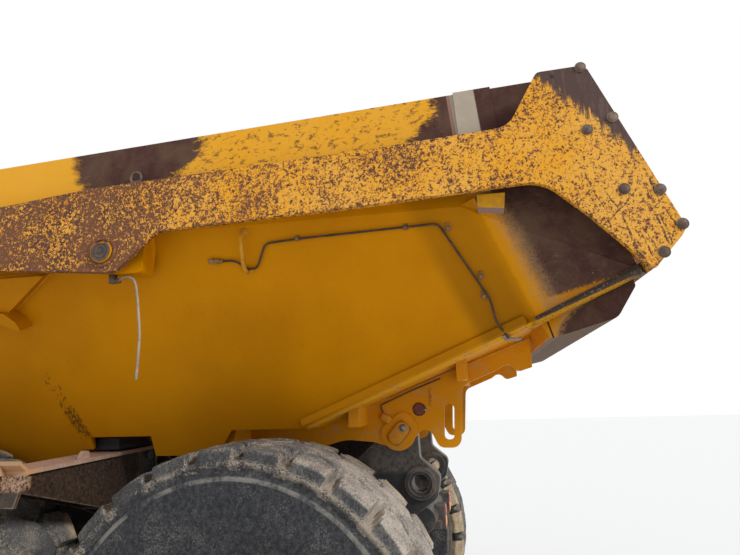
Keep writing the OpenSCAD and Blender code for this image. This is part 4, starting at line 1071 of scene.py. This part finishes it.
pipeSet = {
    "radius": 0.0058,
    "bend": 0.03,
    "route": ((3.298, 2.797), (3.440, 2.792), (3.488, 2.750), (3.549, 2.746), (3.614, 2.862), (3.798, 2.872),
              (4.506, 2.889), (4.735, 2.534), (4.758, 2.429), (4.813, 2.350)),
    "lifts": (0.016,) * 7 + (0.022, 0.026, 0.024),
    "elbow": ((4.792, 2.362, 0.022), (4.800, 2.342, 0.022), (4.868, 2.340, 0.020), (4.872, 2.336, -0.004)),
    "elbowRadius": 0.0085,
    # y, z and length of the clips; y and z of the blocks; distance from the start and radius of the nuts
    "clips": ((3.787, 2.872, 0.02), (4.345, 2.884, 0.02), (4.553, 2.868, 0.03), (4.697, 2.642, 0.03),
              (4.706, 2.552, 0.035)),
    "blocks": ((3.302, 2.797), (3.335, 2.795), (4.811, 2.352)),
    "nuts": ((0.02, 0.0105), (0.052, 0.009)),
    "sunk": -0.002,  # how far a clip's foot goes into the panel
}


def panelPipe(pipe, brass):
    # Round pipe along a route of bends held off the panel, with its elbow, clips, blocks and nuts
    points = [panelPoint(y, z, h) for (y, z), h in zip(pipeSet["route"], pipeSet["lifts"])]
    path = bentPath(points, pipeSet["bend"])
    addPiece("panelPipe", bothSides(tube(path, pipeSet["radius"], 12)), pipe, "dump_body")
    elbow = bentPath([panelPoint(*place) for place in pipeSet["elbow"]], 0.014)
    addPiece("panelPipeElbows", bothSides(tube(elbow, pipeSet["elbowRadius"], 12)), finishes["pale"],
             "dump_body")
    sunk = pipeSet["sunk"]
    clips = []
    stem = slab(roundRect(0.018, 0.018, 0.005), 0.026, 0.003)
    for y, z, long in pipeSet["clips"]:
        foot = slab(roundRect(long + 0.012, 0.026, 0.008), 0.012, 0.003)
        clips.append(moved(foot, panelPoint(y, z, sunk), panelTurn))
        clips.append(moved(stem, panelPoint(y, z, sunk), panelTurn))
        clips.append(moved(hexHead(0.012, 0.007), panelPoint(y, z, 0.024), panelTurn))
    block = slab(roundRect(0.026, 0.030, 0.006), 0.028, 0.004)
    clips += [moved(block, panelPoint(y, z, sunk), panelTurn) for y, z in pipeSet["blocks"]]
    (y0, z0), (y1, z1) = pipeSet["route"][:2]
    along = unit(panelPoint(y1, z1) - panelPoint(y0, z0))
    for start, r in pipeSet["nuts"]:
        nut = turned([(r, 0), (r * 1.08, 0.003), (r * 1.08, 0.015), (r, 0.018)], 6)
        clips.append(moved(nut, points[0] + along * start, aimed(along)))
    addPiece("panelPipeClips", bothSides(joined(clips)), brass, "dump_body")


eyeSet = {
    "low": (3.496, 2.735),
    "high": (3.504, 2.921),
    "stand": 0.062,
    "bar": 0.012,
    "bend": 0.035,
    "sunk": -0.01,
    "ring": (1.622, 2.930, 3.236),
    "ringSize": (0.030, 0.032, 0.0075),  # half width, half height and radius of the bar
    "ringFoot": ((1.596, 2.898, 3.196), (1.630, 2.962, 3.222)),
}


def panelEyes(paint, steel):
    # Bar bent to a D, its two legs sunk in the panel, and the open ring on its small foot
    (y0, z0), (y1, z1) = eyeSet["low"], eyeSet["high"]
    stand, bend, sunk = eyeSet["stand"], eyeSet["bend"], eyeSet["sunk"]
    route = [(y0, z0, sunk), (y0, z0, stand * 0.6), (y0, z0 + bend, stand),
             (y1, z1 - bend, stand), (y1, z1, stand * 0.6), (y1, z1, sunk)]
    eye = tube(bentPath([panelPoint(*place) for place in route], bend, 8), eyeSet["bar"], 14)
    foot = turned([(0.023, -0.003), (0.022, 0.003), (0.014, 0.009)], 18)
    feet = [moved(foot, panelPoint(y, z), panelTurn) for y, z in ((y0, z0), (y1, z1))]
    addPiece("panelEyes", bothSides(joined([eye] + feet)), paint, "dump_body")
    angle = np.linspace(-0.6, math.pi + 0.6, 24)
    (x, y, z), (wide, high, bar) = eyeSet["ring"], eyeSet["ringSize"]
    path = np.column_stack([np.full(24, x), y + wide * np.cos(angle), z + high * np.sin(angle)])
    ring = tube(path, bar, 12)
    plate = box(*eyeSet["ringFoot"], 0.005)
    addPiece("liftingRings", bothSides(joined([ring, plate])), steel, "dump_body")


hingeSet = {
    "keeper": (0.676, 4.164, 1.857),
    "tilt": 48,  # degrees
    "lockPin": (0.664, 4.290, 1.994),
    "block": (0.660, 4.088, 1.944),
    "tube": ((0.672, 4.074, 1.968), (0.676, 4.053, 2.022), (0.676, 4.252, 2.106), (0.676, 4.428, 2.172)),
    "tubeRadius": 0.0042,
}


def hingeFittings(paint, red, bolt, pipe):
    # Keeper with round ends over the hinge pin, its bolt, the lock pin and the grease block with its pipe
    tilt = math.radians(hingeSet["tilt"])
    along = np.array([0, math.cos(tilt), math.sin(tilt)])
    turn = np.column_stack([along, np.cross([1, 0, 0], along), [1, 0, 0]])
    keeper = moved(slab(roundRect(0.142, 0.084, 0.038, 9), 0.026, 0.005), hingeSet["keeper"], turn)
    block = moved(slab(roundRect(0.062, 0.042, 0.006), 0.034, 0.004), hingeSet["block"],
                  np.column_stack([[0, 0.87, -0.5], [0, 0.5, 0.87], [1, 0, 0]]))
    addPiece("hingeKeepers", bothSides(joined([keeper, block])), paint, "dump_body")
    place = np.array(hingeSet["keeper"]) + along * 0.042 + [0.026, 0, 0]
    head = moved(domeHead(0.021, 0.014, 1.1), place, outwardTurn)
    small = moved(hexHead(0.016, 0.010), np.array(hingeSet["lockPin"]) + [0, 0.040, -0.006], outwardTurn)
    addPiece("hingeBolts", bothSides(joined([head, small])), bolt, "dump_body")
    pin = turned([(0.033, -0.01), (0.033, 0.004), (0.030, 0.007), (0.004, 0.007)], 32)
    pin = moved(pin, hingeSet["lockPin"], outwardTurn)
    addPiece("lockPins", bothSides(pin), red, "dump_body")
    grease = tube(bentPath(hingeSet["tube"], 0.02), hingeSet["tubeRadius"], 10)
    addPiece("greasePipes", bothSides(grease), pipe, "dump_body")


hangSet = {
    "radius": 0.0068,
    "route": ((1.585, 2.820, 2.690), (1.590, 2.858, 2.691), (1.592, 2.890, 2.712), (1.592, 2.945, 2.690),
              (1.590, 2.966, 2.585), (1.588, 2.990, 2.400), (1.588, 2.986, 2.180)),
    "foot": ((1.572, 2.800, 2.676), (1.604, 2.832, 2.726)),
    "nut": (1.586, 2.828, 2.690),
}


def hangingPipe(pipe, bolt):
    # Rigid bent pipe down from the pivot's bracket, with its nut
    path = bentPath(hangSet["route"], 0.04)
    addPiece("hangingPipe", tube(path, hangSet["radius"], 12), pipe, "dump_body")
    nut = turned([(0.013, 0), (0.0145, 0.004), (0.0145, 0.024), (0.013, 0.028)], 6)
    foot = box(*hangSet["foot"], 0.004)
    nut = moved(nut, hangSet["nut"], aimed((0, 1, 0)))
    addPiece("hangingPipeNut", joined([foot, nut]), bolt, "dump_body")


gateSet = {
    "outside": 1.700,
    "thick": 0.030,
    "bevel": 0.0025,
    "stations": 26,
    # y, z and corner radius round the arm's edges: upper edge from front to rear, then the lower edge
    "upper": ((1.585, 3.055, 0.060), (2.719, 3.168, 0), (4.212, 3.225, 0), (4.860, 3.262, 0.110),
              (5.007, 3.521, 0.030), (5.225, 3.528, 0.025), (5.550, 2.714, 0.028)),
    "lower": ((1.585, 2.795, 0.060), (2.237, 2.759, 0), (2.895, 2.704, 0.105), (3.110, 2.902, 0.130),
              (4.204, 2.939, 0), (4.985, 2.983, 0.190), (5.163, 2.810, 0.420), (5.399, 2.548, 0.030)),
    # Places on both edges, by distance along y at the corners, that one cross section joins
    "pairs": ((2.719, 2.237), (3.00, 2.80), (3.30, 3.16), (4.212, 4.204), (4.820, 4.80), (4.93, 4.96),
              (5.007, 5.03), (5.20, 5.10)),
    "front": (1.585, 2.925, 0),
    # Section of the ring round the pivot: radius and x
    "ring": ((0.063, 1.694), (0.080, 1.694), (0.080, 1.7045),
             (0.0785, 1.706), (0.0645, 1.706), (0.063, 1.7045)),
    # The gate's inner face from top to foot, its outer face, and the lip below it, as y and z
    "top": (5.175, 3.475),
    "foot": (5.470, 2.728),
    "outerTop": (5.225, 3.480),
    "outerFoot": (5.527, 2.722),
    "lip": ((5.412, 2.560), (5.385, 2.600)),
    "half": 1.672,
    "stiffeners": (0.2, 0.48, 0.76),
    "stiffener": ((-0.06, -0.02), (0.06, -0.02), (0.06, 0.055), (-0.06, 0.055)),
    "stiffenerHalf": 1.65,
    "plateEdge": 0.004,
}


def cornered(points):
    # Line through the points with each inner corner turned into an arc of its own radius
    points = [np.array(p, float) for p in points]
    out = [points[0][:2]]
    for a, b, c in zip(points[:-2], points[1:-1], points[2:]):
        here, r = b[:2], b[2]
        u, v = unit(a[:2] - here), unit(c[:2] - here)
        half = math.acos(np.clip(u @ v, -1, 1)) / 2
        if r == 0 or half > 1.55:
            out.append(here)
            continue
        t = np.linspace(0, 1, 9)
        middle = here + unit(u + v) * r / math.sin(half)
        p, q = here + u * r / math.tan(half) - middle, here + v * r / math.tan(half) - middle
        turn = math.pi - 2 * half
        arc = (np.sin((1 - t) * turn)[:, None] * p + np.sin(t * turn)[:, None] * q) / math.sin(turn)
        out.extend(middle + arc)
    out.append(points[-1][:2])
    return np.array(out)


def splitAt(line, places):
    # The line cut at the corners nearest to the given y values, each stretch with as many even stations
    lengths = lengthsAlong(line)
    at = [0] + [lengths[np.argmin(np.abs(line[:, 0] - y))] for y in places] + [lengths[-1]]
    stops = [np.linspace(a, b, gateSet["stations"], endpoint=False) for a, b in zip(at[:-1], at[1:])]
    return pointsAt(line, np.concatenate([*stops, at[-1:]]))


def armPlate():
    # Cross sections between the two edges of the outline: L + (U - L) t with bevelled corners
    upper, lower = gateSet["upper"], gateSet["lower"]
    front, rear = gateSet["front"], tuple((np.array(upper[-1]) + np.array(lower[-1])) / 2)
    top = splitAt(cornered((front, *upper, rear)), [a for a, b in gateSet["pairs"]])
    foot = splitAt(cornered((front, *lower, rear)), [b for a, b in gateSet["pairs"]])
    top, foot = top[2:-2], foot[2:-2]
    x1, x0, e = gateSet["outside"], gateSet["outside"] - gateSet["thick"], gateSet["bevel"]
    across = top - foot
    across /= np.linalg.norm(across, axis=1, keepdims=True)
    rings = []
    for x, end, way in ((x1 - e, foot, 0), (x1, foot, 1), (x1, top, -1), (x1 - e, top, 0), (x0 + e, top, 0),
                        (x0, top, -1), (x0, foot, 1), (x0 + e, foot, 0)):
        flat = end + across * e * way
        rings.append(np.column_stack([np.full(len(flat), x), flat]))
    return skin(np.stack(rings, 1))


def acrossBody(outline, half, edge):
    # A side view outline carried from one side of the truck to the other
    outline = np.asarray(outline, float)
    shape = slab(outline, 2 * half, edge)
    return form(np.column_stack([shape[0][:, 2] - half, shape[0][:, 0], shape[0][:, 1]]), shape[1], shape[2])


def tailgatePlates(material):
    # Two thin arms, rings round the pivots and the gate between them with its lip and stiffeners
    count = 48
    run = 2 * math.pi * np.arange(count) / count
    radius, x = np.array(gateSet["ring"]).T[:, :, None]
    y, z = pivotSet["place"][1:]
    hoop = np.stack([np.repeat(x, count, 1), y + radius * np.cos(run), z + radius * np.sin(run)], -1)
    arms = bothSides(joined([armPlate(), skin(hoop, loop=True)]))
    top, foot, edge = np.array(gateSet["top"]), np.array(gateSet["foot"]), gateSet["plateEdge"]
    down = unit(foot - top)
    out = np.array([-down[1], down[0]])
    gate = [top, gateSet["outerTop"], gateSet["outerFoot"], foot, top]
    lip = [foot, gateSet["outerFoot"], *gateSet["lip"], foot]
    sheets = [acrossBody(resampled(corners, stations)[:-1], gateSet["half"], edge)
              for corners, stations in ((gate, 60), (lip, 40))]
    for u in gateSet["stiffeners"]:
        at = top + (foot - top) * u
        corners = [at + down * a + out * b for a, b in gateSet["stiffener"]]
        sheets.append(acrossBody(resampled(corners + corners[:1], 40)[:-1], gateSet["stiffenerHalf"], edge))
    piece = addPiece("tailgatePlates", joined([arms] + sheets), material, "tailgate")
    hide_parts("tailgate")


seamSet = {
    "step": 0.012,
    "radius": 0.0065,
    # y and z of the seams on the panel, each with its radius or none for the usual one
    "panel": (((2.331, 2.797), (-0.40, 2.797), None), ((2.331, 2.797), (2.038, 2.612), None),
              ((3.70, 1.925), (4.90, 2.401), 0.007)),
    "hinge": (((0.662, 4.36, 2.105), (0.662, 4.358, 2.010), 0.004),
              ((0.662, 4.02, 2.035), (0.662, 4.97, 2.392), 0.006)),
}


def seam(points, radius=None):
    # Bead along a line, its radius swelling with sin(length / 9 mm) as each weld ripple does
    points = np.asarray(points, float)
    long = lengthsAlong(points)[-1]
    at = np.linspace(0, long, max(4, int(long / seamSet["step"])))
    r = (radius or seamSet["radius"]) * (1 + 0.13 * np.sin(at / 0.009) + 0.06 * np.sin(at / 0.031 + 1))
    return tube(pointsAt(points, at), r, 6)


def bodySeams(paint):
    # Beads on the inclined panels and on the hinge plates
    seams = [seam([panelPoint(*start), panelPoint(*end)], r) for start, end, r in seamSet["panel"]]
    seams += [seam([start, end], r) for start, end, r in seamSet["hinge"]]
    addPiece("bodySeams", bothSides(joined(seams)), paint, "dump_body")


wheelSet = {"rows": (("front", -2.785), ("middle", 1.485), ("rear", 3.535)), "side": 1.35, "radius": 0.935}


def eachWheel():
    # Row and hand of each wheel, its middle, and the turn that mirrors a right wheel
    for row, y in wheelSet["rows"]:
        for hand, side in (("left", 1), ("right", -1)):
            yield row, hand, (side * wheelSet["side"], y, wheelSet["radius"]), np.diag([side, side, 1.0])


tyreSet = {
    "lugs": 25,
    "phase": 2.3,  # degrees of a groove past the top, towards the rear
    "floor": 0.884,
    "treadFrom": 0.83,
    "wear": 0.0016,
    "side": ((0.300, 0.345), (0.325, 0.365), (0.337, 0.42), (0.350, 0.50), (0.364, 0.565), (0.3695, 0.600),
             (0.3735, 0.606), (0.374, 0.64), (0.373, 0.69), (0.3685, 0.74), (0.363, 0.772), (0.3645, 0.786),
             (0.3675, 0.795), (0.3645, 0.802), (0.355, 0.811), (0.351, 0.823), (0.354, 0.836), (0.362, 0.845),
             (0.3665, 0.853), (0.364, 0.862), (0.353, 0.868), (0.347, 0.873), (0.344, 0.888), (0.339, 0.904),
             (0.329, 0.915), (0.312, 0.9215)),
    "crown": ((0.25, 0.926), (0.20, 0.929), (0.10, 0.933), (0.0, 0.935)),
    "inside": ((-0.265, 0.345), (-0.290, 0.48), (-0.315, 0.62), (-0.300, 0.74), (-0.24, 0.80), (0.24, 0.80),
               (0.300, 0.74), (0.315, 0.62), (0.290, 0.48), (0.265, 0.345)),
    # arc and side of both ends, half width at both ends and depth; the other side is half a lug further
    "grooves": ((0.000, 0.400, -0.004, 0.300, 0.036, 0.025, 1.0),
                (-0.004, 0.300, -0.016, 0.172, 0.025, 0.017, 1.0),
                (-0.016, 0.172, 0.052, 0.100, 0.012, 0.010, 0.8),
                (0.052, 0.100, 0.219, 0.172, 0.010, 0.012, 0.8)),
    "sipe": (0.052, 0.100, 0.1695, -0.100, 0.009, 0.009, 0.6),
}


def tyreShape(perLug, sideCount, ridgeCount, crownCount, insideCount, soft):
    # Cross section (side, radius) turned round the axle; where a groove runs, the radius drops towards its
    # floor by smoothstep(half width - distance to the groove's middle line)
    side = np.array(tyreSet["side"])
    outer = np.vstack([resampled(side[:12], sideCount)[:-1], resampled(side[11:], ridgeCount)[:-1],
                       resampled(np.vstack([side[-1:], tyreSet["crown"]]), crownCount)])
    section = np.vstack([outer, (outer * [-1, 1])[::-1][1:], resampled(tyreSet["inside"], insideCount)])
    smooth = section.copy()
    smooth[1:-1] = (section[:-2] + 2 * section[1:-1] + section[2:]) / 4
    count = perLug * tyreSet["lugs"]
    pitch = 2 * math.pi * wheelSet["radius"] / tyreSet["lugs"]
    angle = np.arange(count) * 2 * math.pi / count
    w, r = smooth[:, 0][:, None] + 0 * angle, smooth[:, 1][:, None] + 0 * angle
    arc = (angle - math.radians(tyreSet["phase"])) * wheelSet["radius"] + 0 * w
    cut = np.zeros_like(w)
    table = list(tyreSet["grooves"])
    table += [(a0 + pitch / 2, -s0, a1 + pitch / 2, -s1, h0, h1, d) for a0, s0, a1, s1, h0, h1, d in table]
    table.append(tyreSet["sipe"])
    tread = r > tyreSet["treadFrom"]
    for a0, s0, a1, s1, h0, h1, deep in table:
        middle = (a0 + a1) / 2
        a = (arc - middle + pitch / 2) % pitch - pitch / 2 + middle
        da, ds = a1 - a0, s1 - s0
        t = np.clip(((a - a0) * da + (w - s0) * ds) / (da * da + ds * ds), 0, 1)
        away = np.hypot(a - a0 - t * da, w - s0 - t * ds)
        rise = np.clip((h0 + (h1 - h0) * t - away) / soft + 0.5, 0, 1)
        cut = np.maximum(cut, deep * rise * rise * (3 - 2 * rise) * tread)
    floor = tyreSet["floor"] - 0.06 * np.clip(np.abs(w) - 0.10, 0, 0.25)
    down = r - cut * np.clip(r - floor, 0, None)
    # Uneven wear of the blocks: two waves that cross
    down -= tread * (1 - cut) * tyreSet["wear"] * (np.sin(arc * 41 + w * 23) + np.sin(arc * 17 - w * 61))
    points = np.stack([w, down * np.sin(angle), down * np.cos(angle)], -1)
    layers = {
        "cut": cut.ravel(), "rise": r.ravel(),
        "spin": np.stack([np.sin(angle) + 0 * w, np.cos(angle) + 0 * w, r * 0.25], -1).reshape(-1, 3),
    }
    shape = skin(points, loop=True)
    return form(shape[0], shape[1][:, ::-1]), layers


def makeTyres(material):
    # The tyre nearest to the camera has the finer grid
    fine, plain = tyreShape(20, 18, 24, 36, 10, 0.009), tyreShape(12, 9, 14, 20, 7, 0.014)
    for row, hand, place, turn in eachWheel():
        shape, layers = fine if (row, hand) == ("rear", "left") else plain
        tyre = addPiece(row + hand.title() + "Tyre", moved(shape, place, turn), material,
                        "wheel_" + row + "_" + hand, 45, layers)
        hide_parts("tyre_" + row + "_" + hand)


rimSet = {
    # Count, circle, distance out from the wheel's middle and size across of the studs and of the hub's bolts
    "nuts": ((20, 0.281, 0.110, 0.036), (10, 0.168, 0.268, 0.024)),
    "plug": 0.300,
    "valve": ((0.10, 0, 0.288), (0.13, 0, 0.290), (0.17, 0.01, 0.285)),
}


def makeRimBolts(steel):
    # Nuts on two circles of the wheel's outer face, with a valve through the disc
    nuts = []
    for count, ring, x, size in rimSet["nuts"]:
        for k in range(count):
            a = 2 * math.pi * (k + 0.5) / count
            place = (x, ring * math.sin(a), ring * math.cos(a))
            nuts.append(moved(hexHead(size, size * 0.8), place, outwardTurn))
    plug = turned([(0.034, -0.002), (0.034, 0.006), (0.026, 0.010), (0.012, 0.010)], 24)
    nuts.append(moved(plug, (rimSet["plug"], 0, 0), outwardTurn))
    nuts.append(tube(rimSet["valve"], 0.005))
    shape = joined(nuts)
    for row, hand, place, turn in eachWheel():
        addPiece(row + hand.title() + "WheelNuts", moved(shape, place, turn), steel,
                 "wheel_" + row + "_" + hand)


def lens(radius, dome):
    # Shallow cap: height = dome (1 - (r / radius)^2), on a short cylinder
    r = np.linspace(1, 0.04, 9) * radius
    rows = [(radius, -0.02), (radius, 0)] + [(k, dome * (1 - (k / radius) ** 2)) for k in r[1:]]
    return turned(rows, 36)


frontSet = {
    "lamps": (1.080, 1.260),
    "lampHeight": 1.195,
    "lampFace": -5.440,
    "lensRadius": 0.062,
    "ringRadius": 0.067,
    # Half width, foot, top and y of the grille's mesh, the step of its wires and their radius
    "mesh": (0.655, 1.585, 2.305, -5.336),
    "meshStep": 0.052,
    "wire": 0.0035,
    # x, y and z of the middle of a tail lamp, and the shift of its two lenses up and down
    "tail": (0.260, 4.395, 1.320),
    "tailShift": 0.033,
}


def frontLamps(glass, ring):
    # Domed lenses in rings, and the wire mesh behind the hood's louvres
    face = aimed((0, -1, 0))
    lenses, rings = [], []
    turn = np.arange(40) * 2 * math.pi / 40
    for x in frontSet["lamps"]:
        place = np.array([x, frontSet["lampFace"], frontSet["lampHeight"]])
        lenses.append(moved(lens(frontSet["lensRadius"], 0.014), place + [0, -0.002, 0], face))
        circle = np.column_stack([np.cos(turn), np.sin(turn), np.zeros(40)]) * frontSet["ringRadius"]
        rings.append(moved(tube(circle, 0.007, 8, loop=True), place + [0, -0.003, 0], face))
    addPiece("headLenses", bothSides(joined(lenses)), glass, "front_frame")
    addPiece("headRings", bothSides(joined(rings)), ring, "front_frame")
    (x1, z0, z1, y), step, wire = frontSet["mesh"], frontSet["meshStep"], frontSet["wire"]
    wires = [tube([(x, y, z0), (x, y, z1)], wire, 6) for x in np.arange(-x1 + 0.02, x1, step)]
    near = y - 0.006
    wires += [tube([(-x1, near, z), (x1, near, z)], wire, 6) for z in np.arange(z0 + 0.02, z1, step)]
    addPiece("grilleMesh", joined(wires), finishes["dark"], "hood")


def tailLenses(red, amber):
    # Two rounded lenses with ribs on each rear lamp box, almost flush with it
    shift = frontSet["tailShift"]
    for name, finish, up in (("tailLensesRed", red, shift), ("tailLensesAmber", amber, -shift)):
        place = np.array(frontSet["tail"]) + [0, 0, up]
        shape = moved(slab(roundRect(0.100, 0.056, 0.010), 0.016, 0.004), place - [0, 0.0135, 0], rearTurn)
        rib = tube([(-0.042, 0, 0), (0.042, 0, 0)], 0.0025, 6)
        ribs = [moved(rib, place + [0, 0.0025, k]) for k in (-0.014, 0, 0.014)]
        addPiece(name, bothSides(joined([shape] + ribs)), finish, "rear_frame")


sealSet = {
    "radius": 0.011,
    "bend": 0.05,
    "glassX": 0.861,
    # x and z of the windscreen's corners and of its bend
    "front": ((-0.73, 2.59), (0.73, 2.59), (0.73, 2.72), (0.73, 3.565), (-0.73, 3.565), (-0.73, 2.72)),
    # y and z of the windows' corners
    "door": ((-3.050, 2.520), (-2.210, 2.520), (-2.210, 3.475), (-2.835, 3.475), (-3.050, 2.780)),
    "right": ((-3.150, 2.600), (-2.180, 2.600), (-2.180, 3.525), (-2.860, 3.525), (-3.150, 2.780)),
}


def closedPath(points, radius):
    # Rounded loop: the bent path through all corners, started and ended halfway along one side
    points = [np.array(p, float) for p in points]
    start = (points[-1] + points[0]) / 2
    return bentPath([start, *points, start], radius)[:-1]


screenSet = {"face": -3.330, "bendZ": 2.72, "lean": 0.3645}


def windscreenPoint(x, z, lift=0.0):
    # The cab's front: upright to the bend, then leaning back by lean a metre
    return np.array([x, screenSet["face"] + max(z - screenSet["bendZ"], 0) * screenSet["lean"] - lift, z])


def windowSeals(rubber):
    # Rubber beads round the windows
    r, bend, glassX = sealSet["radius"], sealSet["bend"], sealSet["glassX"]
    loops = [closedPath([windscreenPoint(x, z) for x, z in sealSet["front"]], bend),
             closedPath([(-glassX, y, z) for y, z in sealSet["right"]], bend)]
    seals = joined([tube(path, r, 8, loop=True) for path in loops])
    addPiece("windowSeals", seals, rubber, "front_frame")
    door = closedPath([(glassX, y, z) for y, z in sealSet["door"]], bend)
    addPiece("doorWindowSeal", tube(door, r, 8, loop=True), rubber, "cab_door")


wiperSet = {"pivots": (0.42, -0.22), "pivotZ": 2.545, "topZ": 3.10, "lean": -0.30}


def wipers(dark):
    # Arm from its pivot under the windscreen, with the blade across its end
    parts = []
    lean, topZ = wiperSet["lean"], wiperSet["topZ"]
    cap = turned([(0.024, -0.01), (0.024, 0.03), (0.017, 0.040)], 20)
    for x in wiperSet["pivots"]:
        pivot = windscreenPoint(x, wiperSet["pivotZ"], 0.004)
        top = windscreenPoint(x + lean, topZ, 0.050)
        end = x + lean * 1.02
        parts.append(moved(cap, pivot, aimed((0, -1, 0))))
        arm = bentPath([pivot + [0, -0.035, 0], windscreenPoint(x + lean * 0.1, 2.70, 0.055), top], 0.05)
        parts.append(tube(arm, 0.0085, 8))
        blade = [windscreenPoint(end + k * 0.10, topZ + k * 0.36, 0.024) for k in (-1, -0.5, 0, 0.5, 1)]
        parts.append(tube(blade, 0.010, 8))
        parts.append(tube([top, windscreenPoint(end, topZ, 0.020)], 0.009, 8))
    addPiece("wipers", joined(parts), dark, "front_frame")


mirrorSet = {"place": (1.235, -3.206, 2.775), "wide": 0.180, "high": 0.300}


def mirrorGlass(silver):
    # Thin panes with rounded corners on the rear faces of the mirror heads
    pane = slab(roundRect(mirrorSet["wide"], mirrorSet["high"], 0.030), 0.006, 0.002)
    shape = moved(pane, mirrorSet["place"], rearTurn)
    addPiece("mirrorPanes", bothSides(shape), silver, "front_frame")


def signedPower(value, power):
    # Size to the power, with the sign kept
    return np.sign(value) * np.abs(value) ** power


def pillow(size, place, turn=None, power=0.42):
    # x, y, z = half size x (signed powers of cos and sin of two angles), flattest in the middle
    u, v = np.linspace(-math.pi / 2, math.pi / 2, 21)[1:-1, None], np.arange(40) * 2 * math.pi / 40
    a = np.array(size) / 2
    girth = signedPower(np.cos(u), power)
    points = np.stack([a[0] * girth * signedPower(np.cos(v), power),
                       a[1] * girth * signedPower(np.sin(v), power),
                       a[2] * signedPower(np.sin(u), 0.7) + 0 * v], -1)
    return moved(skin(points), place, turn)


seatSet = {
    "cushion": ((0.54, 0.46, 0.11), (0, -2.525, 2.558)),
    "back": ((0.50, 0.62, 0.10), (0, -2.310, 2.860)),
    "lean": 80.5,  # degrees of the backrest from level
    "head": ((0.30, 0.16, 0.09), (0, -2.222, 3.235)),
    "fill": 0.6,
}


def seatCushions(cloth):
    # Cushion, backrest and headrest, the last two leaning back
    lean = math.radians(seatSet["lean"])
    c, d = math.cos(lean), math.sin(lean)
    turn = np.column_stack([[1, 0, 0], [0, c, d], [0, -d, c]])
    for name, way in (("cushion", None), ("back", turn), ("head", turn)):
        size, place = seatSet[name]
        shape = pillow(size, place, way)
        piece = addPiece("seat" + name.title(), shape, cloth, "front_frame", 70)


handleSet = {
    "hood": (0.822, -3.75, 2.10),
    "long": 0.22,
    "stand": 0.045,
    "latchDrop": 0.14,
    "door": ((0.855, -3.01, 2.10), (0.910, -3.01, 2.10), (0.910, -3.01, 2.38), (0.855, -3.01, 2.38)),
    "bar": 0.010,
}


def grabHandles(dark):
    # Bent bars: one on each side of the hood, one on the cab door
    x, y, z = handleSet["hood"]
    half, stand, bar = handleSet["long"] / 2, handleSet["stand"], handleSet["bar"]
    foot, far = x - 0.01, x + stand
    side = [(foot, y - half, z), (far, y - half, z), (far, y + half, z), (foot, y + half, z)]
    latch = turned([(0.022, -0.004), (0.022, 0.006), (0.012, 0.012)], 20)
    latch = moved(latch, (x, y, z - handleSet["latchDrop"]), outwardTurn)
    bars = joined([tube(bentPath(side, 0.03), bar, 10), latch])
    addPiece("hoodHandles", bothSides(bars), dark, "hood")
    addPiece("doorHandle", tube(bentPath(handleSet["door"], 0.03), bar, 10), dark, "cab_door")


makeCamera()
makeLight()
makeFloor()
tyreFinish = tyreMaterial()
dressFrame(tyreFinish)
print("frame dressed")

pipeFinish = spotMaterial("pipeBrown", (0.030, 0.020, 0.016), (0.10, 0.050, 0.028), 0.55)
finishes["pale"] = spotMaterial("pipeDusty", (0.30, 0.25, 0.19), (0.19, 0.15, 0.11), 0.5)
boltFinish = spotMaterial("boltBrown", (0.055, 0.040, 0.034), (0.13, 0.075, 0.048), 0.5)
greyBoltFinish = spotMaterial("boltGrey", (0.26, 0.24, 0.21), (0.16, 0.13, 0.10), 0.4, 0.6)
clipFinish = spotMaterial("clipTan", (0.30, 0.15, 0.045), (0.16, 0.085, 0.035), 0.6)
gateBoltFinish = spotMaterial("gateBolt", (0.085, 0.052, 0.040), (0.22, 0.145, 0.105), 0.75, grain=120)
redFinish = spotMaterial("pinRed", (0.20, 0.030, 0.036), (0.12, 0.022, 0.026), 0.45)
fittingPaint = spotMaterial("fittingYellow", (0.62, 0.27, 0.006), (0.48, 0.19, 0.004), 0.45)

makeTyres(tyreFinish)
makeRimBolts(boltFinish)
print("wheels made")
tailgatePlates(finishes["gate"])
gateBolts(gateBoltFinish)
pivotCaps(boltFinish)
panelPipe(pipeFinish, clipFinish)
panelEyes(fittingPaint, boltFinish)
hingeFittings(fittingPaint, redFinish, greyBoltFinish, pipeFinish)
hangingPipe(finishes["pale"], boltFinish)
bodySeams(fittingPaint)
print("body fittings made")

sealFinish = rubberMaterial("sealRubber")
clearLens = spotMaterial("lampLens", (0.70, 0.72, 0.74), (0.52, 0.55, 0.58), 0.18, grain=220)
redLens = spotMaterial("lensRed", (0.42, 0.012, 0.010), (0.30, 0.010, 0.008), 0.25, grain=200)
amberLens = spotMaterial("lensAmber", (0.72, 0.22, 0.010), (0.55, 0.15, 0.008), 0.25, grain=200)
silver = spotMaterial("mirrorSilver", (0.80, 0.82, 0.84), (0.74, 0.76, 0.78), 0.10, 1.0)
seatCloth = spotMaterial("seatCloth", (0.045, 0.047, 0.055), (0.085, 0.085, 0.095), 0.85, grain=260)
frontLamps(clearLens, silver)
tailLenses(redLens, amberLens)
windowSeals(sealFinish)
wipers(finishes["dark"])
mirrorGlass(silver)
seatCushions(seatCloth)
grabHandles(finishes["dark"])
print("front made")
